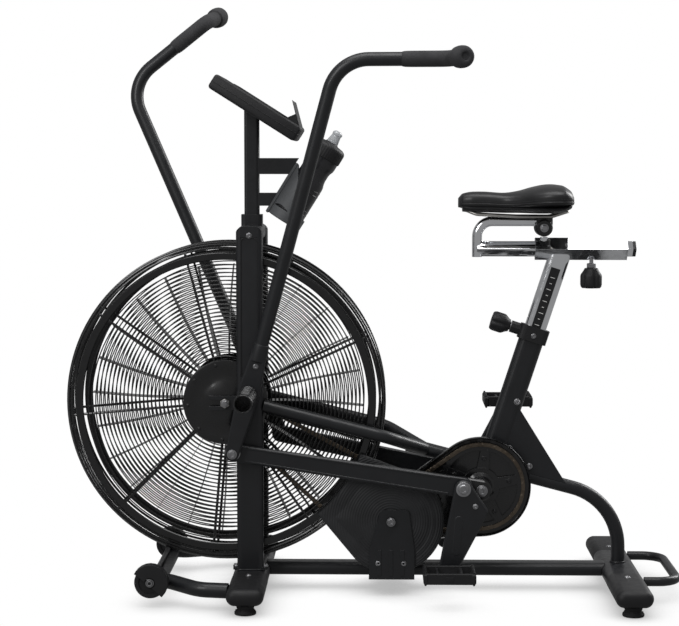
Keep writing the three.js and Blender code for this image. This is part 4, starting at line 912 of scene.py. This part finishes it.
CLAMP = Vector((0.356, 0, 0.7645))
clamp = [drum(CLAMP.x, CLAMP.z, -0.026, 0.026, 0.017, soft=0.002)]
for y in (-0.020, -0.008, 0.008, 0.020):
    clamp.append(facing_y(lathe([(0.0150, 0), (0.0178, 0.0004), (0.0182, 0.0014), (0.0178, 0.0026),
                                 (0.0150, 0.003)], 44),
                          CLAMP.x, CLAMP.z, y, 1))
clamp.append(brick((0.3575, 0, 0.7780), (0.034, 0.031, 0.027), 0.003))
piece("saddle_clamp_look", *merged(*clamp), GLOSS, "seat_slider_body", "gloss_black", replaces=["saddle_clamp"])
piece("saddle_clamp_bolt", *merged(bolt(CLAMP.x, CLAMP.z, 0.0258, -1, 0.0068, 0.0055, False),
                                   bolt(CLAMP.x, CLAMP.z, 0.0258, 1, 0.0068, 0.0055, False)),
      ZINC, "seat_slider_body", "steel")


def diamond(x0, x1, side_length, z, soft=0.0025):
    """A square tube on edge, with round corners and eased ends."""
    half = side_length / 2
    outline = []
    for quarter, (sx, sy) in enumerate(((1, 1), (-1, 1), (-1, -1), (1, -1))):
        for k in range(6):
            a = (quarter + k / 5) * math.pi / 2
            outline.append(Vector((sx * (half - soft) + soft * math.cos(a), sy * (half - soft) + soft * math.sin(a))))
    spin = math.radians(45)
    ring = [Vector((p.x * math.cos(spin) - p.y * math.sin(spin), p.x * math.sin(spin) + p.y * math.cos(spin)))
            for p in outline]
    return [[Vector((x, p.x * grow, z + p.y * grow)) for p in ring]
            for x, grow in ((x0, 0.96), (x0 + 0.0006, 1.0), (x1 - 0.0006, 1.0), (x1, 0.96))]


neck = route([(0.2175, 0, 0.7030), (0.2175, 0, 0.7776), (0.3680, 0, 0.7776)], 0.032, 16)
plug = brick((0.2192, 0, 0.7200), (0.0035, 0.0170, 0.0170), 0.001, Matrix.Rotation(math.radians(45), 4, "X"))
piece("seat_slider_look", *merged(skin(diamond(0.2175, 0.5425, 0.0244, 0.720)), tube(neck, 0.0103, 32), plug), CHROME,
      "seat_slider_body", "chrome", replaces=["seat_slider"])
cap = skin(diamond(0.5420, 0.5490, 0.0242, 0.720))
piece("slider_end_plug", *cap, PLASTIC, "seat_slider_body", "black_plastic")


def along_seat(distance, across=0.0, y=0.0):
    axis = Vector((math.sin(SEAT_LEAN), 0, math.cos(SEAT_LEAN)))
    out = Vector((-axis.z, 0, axis.x))
    return SEAT_TOP - axis * distance + out * across + Vector((0, y, 0))


marks = []
for i in range(5):
    for step in range(2):
        where = along_seat(0.040 + 0.026 * i + 0.013 * step)
        size = 0.010 if step == 0 else 0.005
        for side, _ in SIDES:
            marks.append(brick(where + Vector((0, side * 0.01272, 0)), (size, 0.0003, 0.0014), 0.0001,
                               Matrix.Rotation(SEAT_LEAN, 4, "Y")))
piece("height_marks", *merged(*marks), WHITE, "seat_post_body", "chrome")
strips = []
for side, _ in SIDES:
    strips.append(brick(along_seat(0.094) + Vector((0, side * 0.01255, 0)), (0.020, 0.0003, 0.150), 0.0001,
                        Matrix.Rotation(SEAT_LEAN, 4, "Y")))
piece("height_strip", *merged(*strips), PLASTIC, "seat_post_body", "black_plastic")
collar_screws = []
for side, _ in SIDES:
    spot = along_seat(0.168)
    collar_screws.append(bolt(spot.x, spot.z, 0.0202, side, 0.0042, 0.0030))
piece("collar_screws", *merged(*collar_screws), ZINC, "frame", "steel")


def knob(reach, radius, height):
    """A five-lobed pull knob with a dished cap, on its pin."""
    rings = []
    profile = [(0.50, reach), (0.62, reach + 0.0010), (0.70, reach + 0.005), (0.97, reach + height * 0.33),
               (1.0, reach + height * 0.42), (1.0, reach + height * 0.82), (0.95, reach + height * 0.93),
               (0.84, reach + height), (0.60, reach + height), (0.52, reach + height - 0.0015)]
    for share, z in profile:
        depth = max(0.0, min(1.0, (share - 0.62) / 0.3)) * 0.16
        rings.append([Vector(((r := radius * share * (1 - depth * max(0, math.cos(5 * a)) ** 2)) * math.cos(a),
                              r * math.sin(a), z)) for a in turns(80)])
    pin = lathe([(0.0030, 0), (0.0042, 0.0014), (0.0042, reach + 0.001)], 24)
    collar = lathe([(0.0080, reach - 0.010), (0.0095, reach - 0.009), (0.0095, reach - 0.001), (0.0080, reach)], 6)
    return skin(rings), merged(pin, collar)


out = Vector((-math.cos(SEAT_LEAN), 0, math.sin(SEAT_LEAN)))
base = along_seat(0.164) + out * 0.0236
for label, node, body, matrix, sizes in (
        ("post", "post_knob", "post_knob_body",
         Matrix.Translation(base) @ out.to_track_quat("Z", "Y").to_matrix().to_4x4(), (0.029, 0.0208, 0.040)),
        ("slider", "slider_knob", "slider_knob_body",
         Matrix.Translation((0.457, 0, 0.702)) @ Matrix.Rotation(math.pi, 4, "X"), (0.022, 0.0228, 0.042))):
    head, pin = knob(*sizes)
    piece(f"{label}_knob_head", *moved(head, matrix), PLASTIC, body, "black_plastic", replaces=[node])
    piece(f"{label}_knob_pin", *moved(pin, matrix), ZINC, body, "steel")


# ---------- console ----------
CONSOLE = placed(-0.2415, 1.012, math.radians(32.3))


def on_console(part):
    return moved(part, CONSOLE)


shell_rings = []
for y, inset in ((-0.100, 0.004), (-0.0985, 0.0012), (-0.096, 0.0), (0.096, 0.0), (0.0985, 0.0012), (0.100, 0.004)):
    shell_rings.append([Vector((x, y, z)) for x, z in rounded(0.207 - 2 * inset, 0.033 - 2 * inset, 0.0068, steps=8)])
ledge = plate([(0.0955, 0.0145), (0.1015, 0.0125), (0.0575, 0.0535), (0.0555, 0.0535)], -0.080, 0.080, 0.0006)
cheeks = [plate([(0.0635, 0.0150), (0.0975, 0.0150), (0.0765, 0.0335)], side * 0.0772, side * 0.0798, 0.0006)
          for side, _ in SIDES]
piece("console_shell", *on_console(merged(skin(shell_rings), ledge, *cheeks)), PLASTIC, "frame", "black_plastic",
      replaces=["console"])
bezel = tube([Vector((x, y, 0.0168)) for x, y in rounded(0.124, 0.150, 0.010, -0.001, 0, 8)], 0.0016, 8, closed=True)
seam = tube([Vector((x, y, 0)) for x, y in rounded(0.2072, 0.2002, 0.006, 0, 0, 6)], 0.0007, 6, closed=True)
piece("console_bezel", *on_console(merged(bezel, seam)), PLASTIC, "frame", "black_plastic")
panel = moved(plate(rounded(0.058, 0.120, 0.004, steps=4), -0.0006, 0.0006, 0.0003),
              Matrix.Translation((-0.026, 0, 0.0170)) @ Matrix.Rotation(math.radians(90), 4, "X"))
piece("console_display", *on_console(panel), SCREEN, "frame", "black_plastic")
keys = []
for row in range(2):
    for col in range(5):
        keys.append(moved(plate(rounded(0.011, 0.017, 0.003, steps=4), -0.0007, 0.0007, 0.0003),
                          Matrix.Translation((0.019 + row * 0.019, -0.048 + col * 0.024, 0.0170))
                          @ Matrix.Rotation(math.radians(90), 4, "X")))
piece("console_keys", *on_console(merged(*keys)), GREY, "frame", "black_plastic")
digits = []
for block_x in (-0.040, -0.014):
    for col in range(4):
        y0 = -0.042 + col * 0.026
        for seg, (dx, dy, sx, sy) in enumerate(((-0.006, 0, 0.0012, 0.006), (0, 0, 0.0012, 0.006),
                                                (0.006, 0, 0.0012, 0.006),
                                                (-0.003, -0.0038, 0.005, 0.0012), (0.003, 0.0038, 0.005, 0.0012))):
            if (seg + col) % 4:
                digits.append(brick((block_x + dx, y0 + dy, 0.0178), (sx, sy, 0.0003), 0.0001))
piece("console_digits", *on_console(merged(*digits)), GREY, "frame", "black_plastic")


# ---------- bottle and its holder ----------
BOTTLE_LEAN = math.atan2(0.529, 0.848)
HOLDER = placed(-0.1847, 0.7827, BOTTLE_LEAN)
profile = [(0.022, 0.0035), (0.026, 0.0008), (0.0295, 0.0), (0.0330, 0.0020), (0.0345, 0.0055), (0.0345, 0.0900),
           (0.0338, 0.0955), (0.0312, 0.1035), (0.0302, 0.1100), (0.0302, 0.1220), (0.0312, 0.1280), (0.0338, 0.1340),
           (0.0345, 0.1390)]
profile.extend([(0.0345, 0.1500), (0.0352, 0.1510)])
body_shell = lathe(profile, 64)
grooves = [tube([Vector((0.0345 * math.cos(a), 0.0345 * math.sin(a), z)) for a in
                 turns(60)], 0.0008, 6, closed=True)
           for z in (0.018, 0.0265, 0.035, 0.0725, 0.081)]
piece("bottle_body", *moved(merged(body_shell, *grooves), HOLDER), BOTTLE, "bottle_body", "black_plastic",
      replaces=["bottle"])
lid_rings = []
for r, z in ((0.0330, 0.1512), (0.0358, 0.1515), (0.0365, 0.1530), (0.0365, 0.1720), (0.0358, 0.1762),
             (0.0335, 0.1800), (0.0280, 0.1830), (0.0150, 0.1850), (0.0128, 0.1868)):
    grip_ribs = 0.0005 if 0.152 < z < 0.175 else 0
    lid_rings.append([Vector(((r - grip_ribs * (k % 4 < 2)) * math.cos(2 * math.pi * k / 160),
                              (r - grip_ribs * (k % 4 < 2)) * math.sin(2 * math.pi * k / 160), z))
                      for k in range(160)])
piece("bottle_lid", *moved(skin(lid_rings), HOLDER), PLASTIC, "bottle_body", "black_plastic")
spout = lathe([(0.0128, 0.1862), (0.0124, 0.1900), (0.0105, 0.1990), (0.0098, 0.2040), (0.0108, 0.2060),
               (0.0106, 0.2095), (0.0080, 0.2125), (0.0045, 0.2138)], 44)
piece("bottle_spout", *moved(spout, HOLDER), CLEAR, "bottle_body", "black_plastic")


def holder_shell():
    """The holder's wrap-round wings, thick sheet with an open back and a slanted top edge."""
    wings = []
    for way in (-1, 1):
        rows = []
        for s in range(29):
            a = math.radians(180 - way * (12 + 88 * s / 28))
            top = 0.111 - 0.062 * (s / 28) ** 1.4
            low = 0.012 + 0.010 * math.sin(math.pi * s / 28)
            c, q = math.cos(a), math.sin(a)
            rows.append([Vector((r * c, r * q, z)) for r, z in
                         ((0.0358, low), (0.0380, low), (0.0384, (low + top) / 2), (0.0380, top), (0.0358, top),
                          (0.0357, (low + top) / 2))])
        wings.append(skin(rows))
    cup = lathe([(0.020, -0.0060), (0.0360, -0.0058), (0.0380, -0.0040), (0.0382, 0.0160), (0.0358, 0.0160),
                 (0.0357, -0.0030), (0.020, -0.0032)], 64)
    spine = brick((-0.0395, 0, 0.052), (0.0075, 0.028, 0.120), 0.0015)
    return merged(cup, spine, *wings)


piece("holder_look", *moved(holder_shell(), HOLDER), GREY, "frame", "black_plastic", replaces=["bottle_cage"])
holder_bolts = [moved(bolt(0, 0, 0, 1, 0.0040, 0.0026), Matrix.Translation((-0.0352, 0, z))
                      @ Matrix.Rotation(math.radians(90), 4, "Z")) for z in (0.040, 0.085)]
piece("holder_bolts", *moved(merged(*holder_bolts), HOLDER), ZINC, "frame", "steel")


# ---------- stage, light and camera ----------
def floor():
    """A round dark sheet on the ground whose opacity follows ambient occlusion and fades out with distance, so painted
    contact shadows show on the white ground.
    """
    mesh = bpy.data.meshes.new("painted_contact_shadow")
    count = 64
    mesh.from_pydata([(3.2 * math.cos(a), 3.2 * math.sin(a), -0.0004) for a in
                      turns(count)], [], [tuple(range(count))])
    made = bpy.data.objects.new("painted_contact_shadow", mesh)
    bpy.context.scene.collection.objects.link(made)
    mat = bpy.data.materials.new("painted_contact_shadow")
    mat.use_nodes = True
    nodes, links = mat.node_tree.nodes, mat.node_tree.links
    bsdf = nodes["Principled BSDF"]
    # Painted contact shadow: this near-black colour turns opaque where ambient occlusion finds the bike close by, and
    # fades out away from the centre.
    bsdf.inputs["Base Color"].default_value = (0.05, 0.05, 0.05, 1)
    bsdf.inputs["Roughness"].default_value = 1.0
    bsdf.inputs["Specular IOR Level"].default_value = 0.0
    near = nodes.new("ShaderNodeAmbientOcclusion")
    near.inputs["Distance"].default_value = 0.10
    shade = nodes.new("ShaderNodeMapRange")
    shade.inputs["From Min"].default_value = 0.25
    shade.inputs["From Max"].default_value = 0.9
    shade.inputs["To Min"].default_value = 0.55
    shade.inputs["To Max"].default_value = 0.0
    links.new(near.outputs["AO"], shade.inputs["Value"])
    weight = nodes.new("ShaderNodeMath")
    weight.operation = "MULTIPLY"
    links.new(shade.outputs["Result"], weight.inputs[0])
    centre = nodes.new("ShaderNodeVectorMath")
    centre.operation = "LENGTH"
    links.new(nodes.new("ShaderNodeTexCoord").outputs["Object"], centre.inputs[0])
    fade = nodes.new("ShaderNodeMapRange")
    fade.inputs["From Min"].default_value = 0.75
    fade.inputs["From Max"].default_value = 1.5
    fade.inputs["To Min"].default_value = 1
    fade.inputs["To Max"].default_value = 0
    links.new(centre.outputs["Value"], fade.inputs["Value"])
    links.new(fade.outputs["Result"], weight.inputs[1])
    links.new(weight.outputs["Value"], bsdf.inputs["Alpha"])
    mesh.materials.append(mat)


floor()
world = bpy.data.worlds.new("studio")
bpy.context.scene.world = world
world.use_nodes = True
world.node_tree.nodes["Background"].inputs["Color"].default_value = (1, 1, 1, 1)
seen = world.node_tree.nodes.new("ShaderNodeLightPath").outputs["Is Camera Ray"]
strength = world.node_tree.nodes.new("ShaderNodeMapRange")
strength.inputs["To Min"].default_value = 0.32
strength.inputs["To Max"].default_value = 1.0
world.node_tree.links.new(seen, strength.inputs["Value"])
world.node_tree.links.new(strength.outputs["Result"], world.node_tree.nodes["Background"].inputs["Strength"])


def area(name, place, aim, size, power):
    light = bpy.data.lights.new(name, "AREA")
    light.shape = "RECTANGLE"
    light.size, light.size_y = size
    light.energy = power
    lamp = bpy.data.objects.new(name, light)
    lamp.location = place
    lamp.rotation_euler = (Vector(aim) - Vector(place)).to_track_quat("-Z", "Y").to_euler()
    bpy.context.scene.collection.objects.link(lamp)


area("top", (0.0, -0.6, 3.0), (0, 0, 0.4), (2.6, 1.6), 60)
area("key", (-2.0, -2.6, 2.2), (0, 0, 0.5), (1.2, 1.6), 45)
area("rim", (2.2, 1.6, 1.8), (0, 0, 0.6), (0.8, 1.8), 50)

camera = bpy.data.cameras.new("camera")
camera.lens = 97.3
camera.sensor_width = 36
shot = bpy.data.objects.new("camera", camera)
shot.location = (0.010, -3.85, 0.905)
shot.rotation_euler = (math.radians(85.24), 0, math.radians(1.2))
bpy.context.scene.collection.objects.link(shot)
bpy.context.scene.camera = shot
bpy.context.scene.view_settings.view_transform = "Standard"
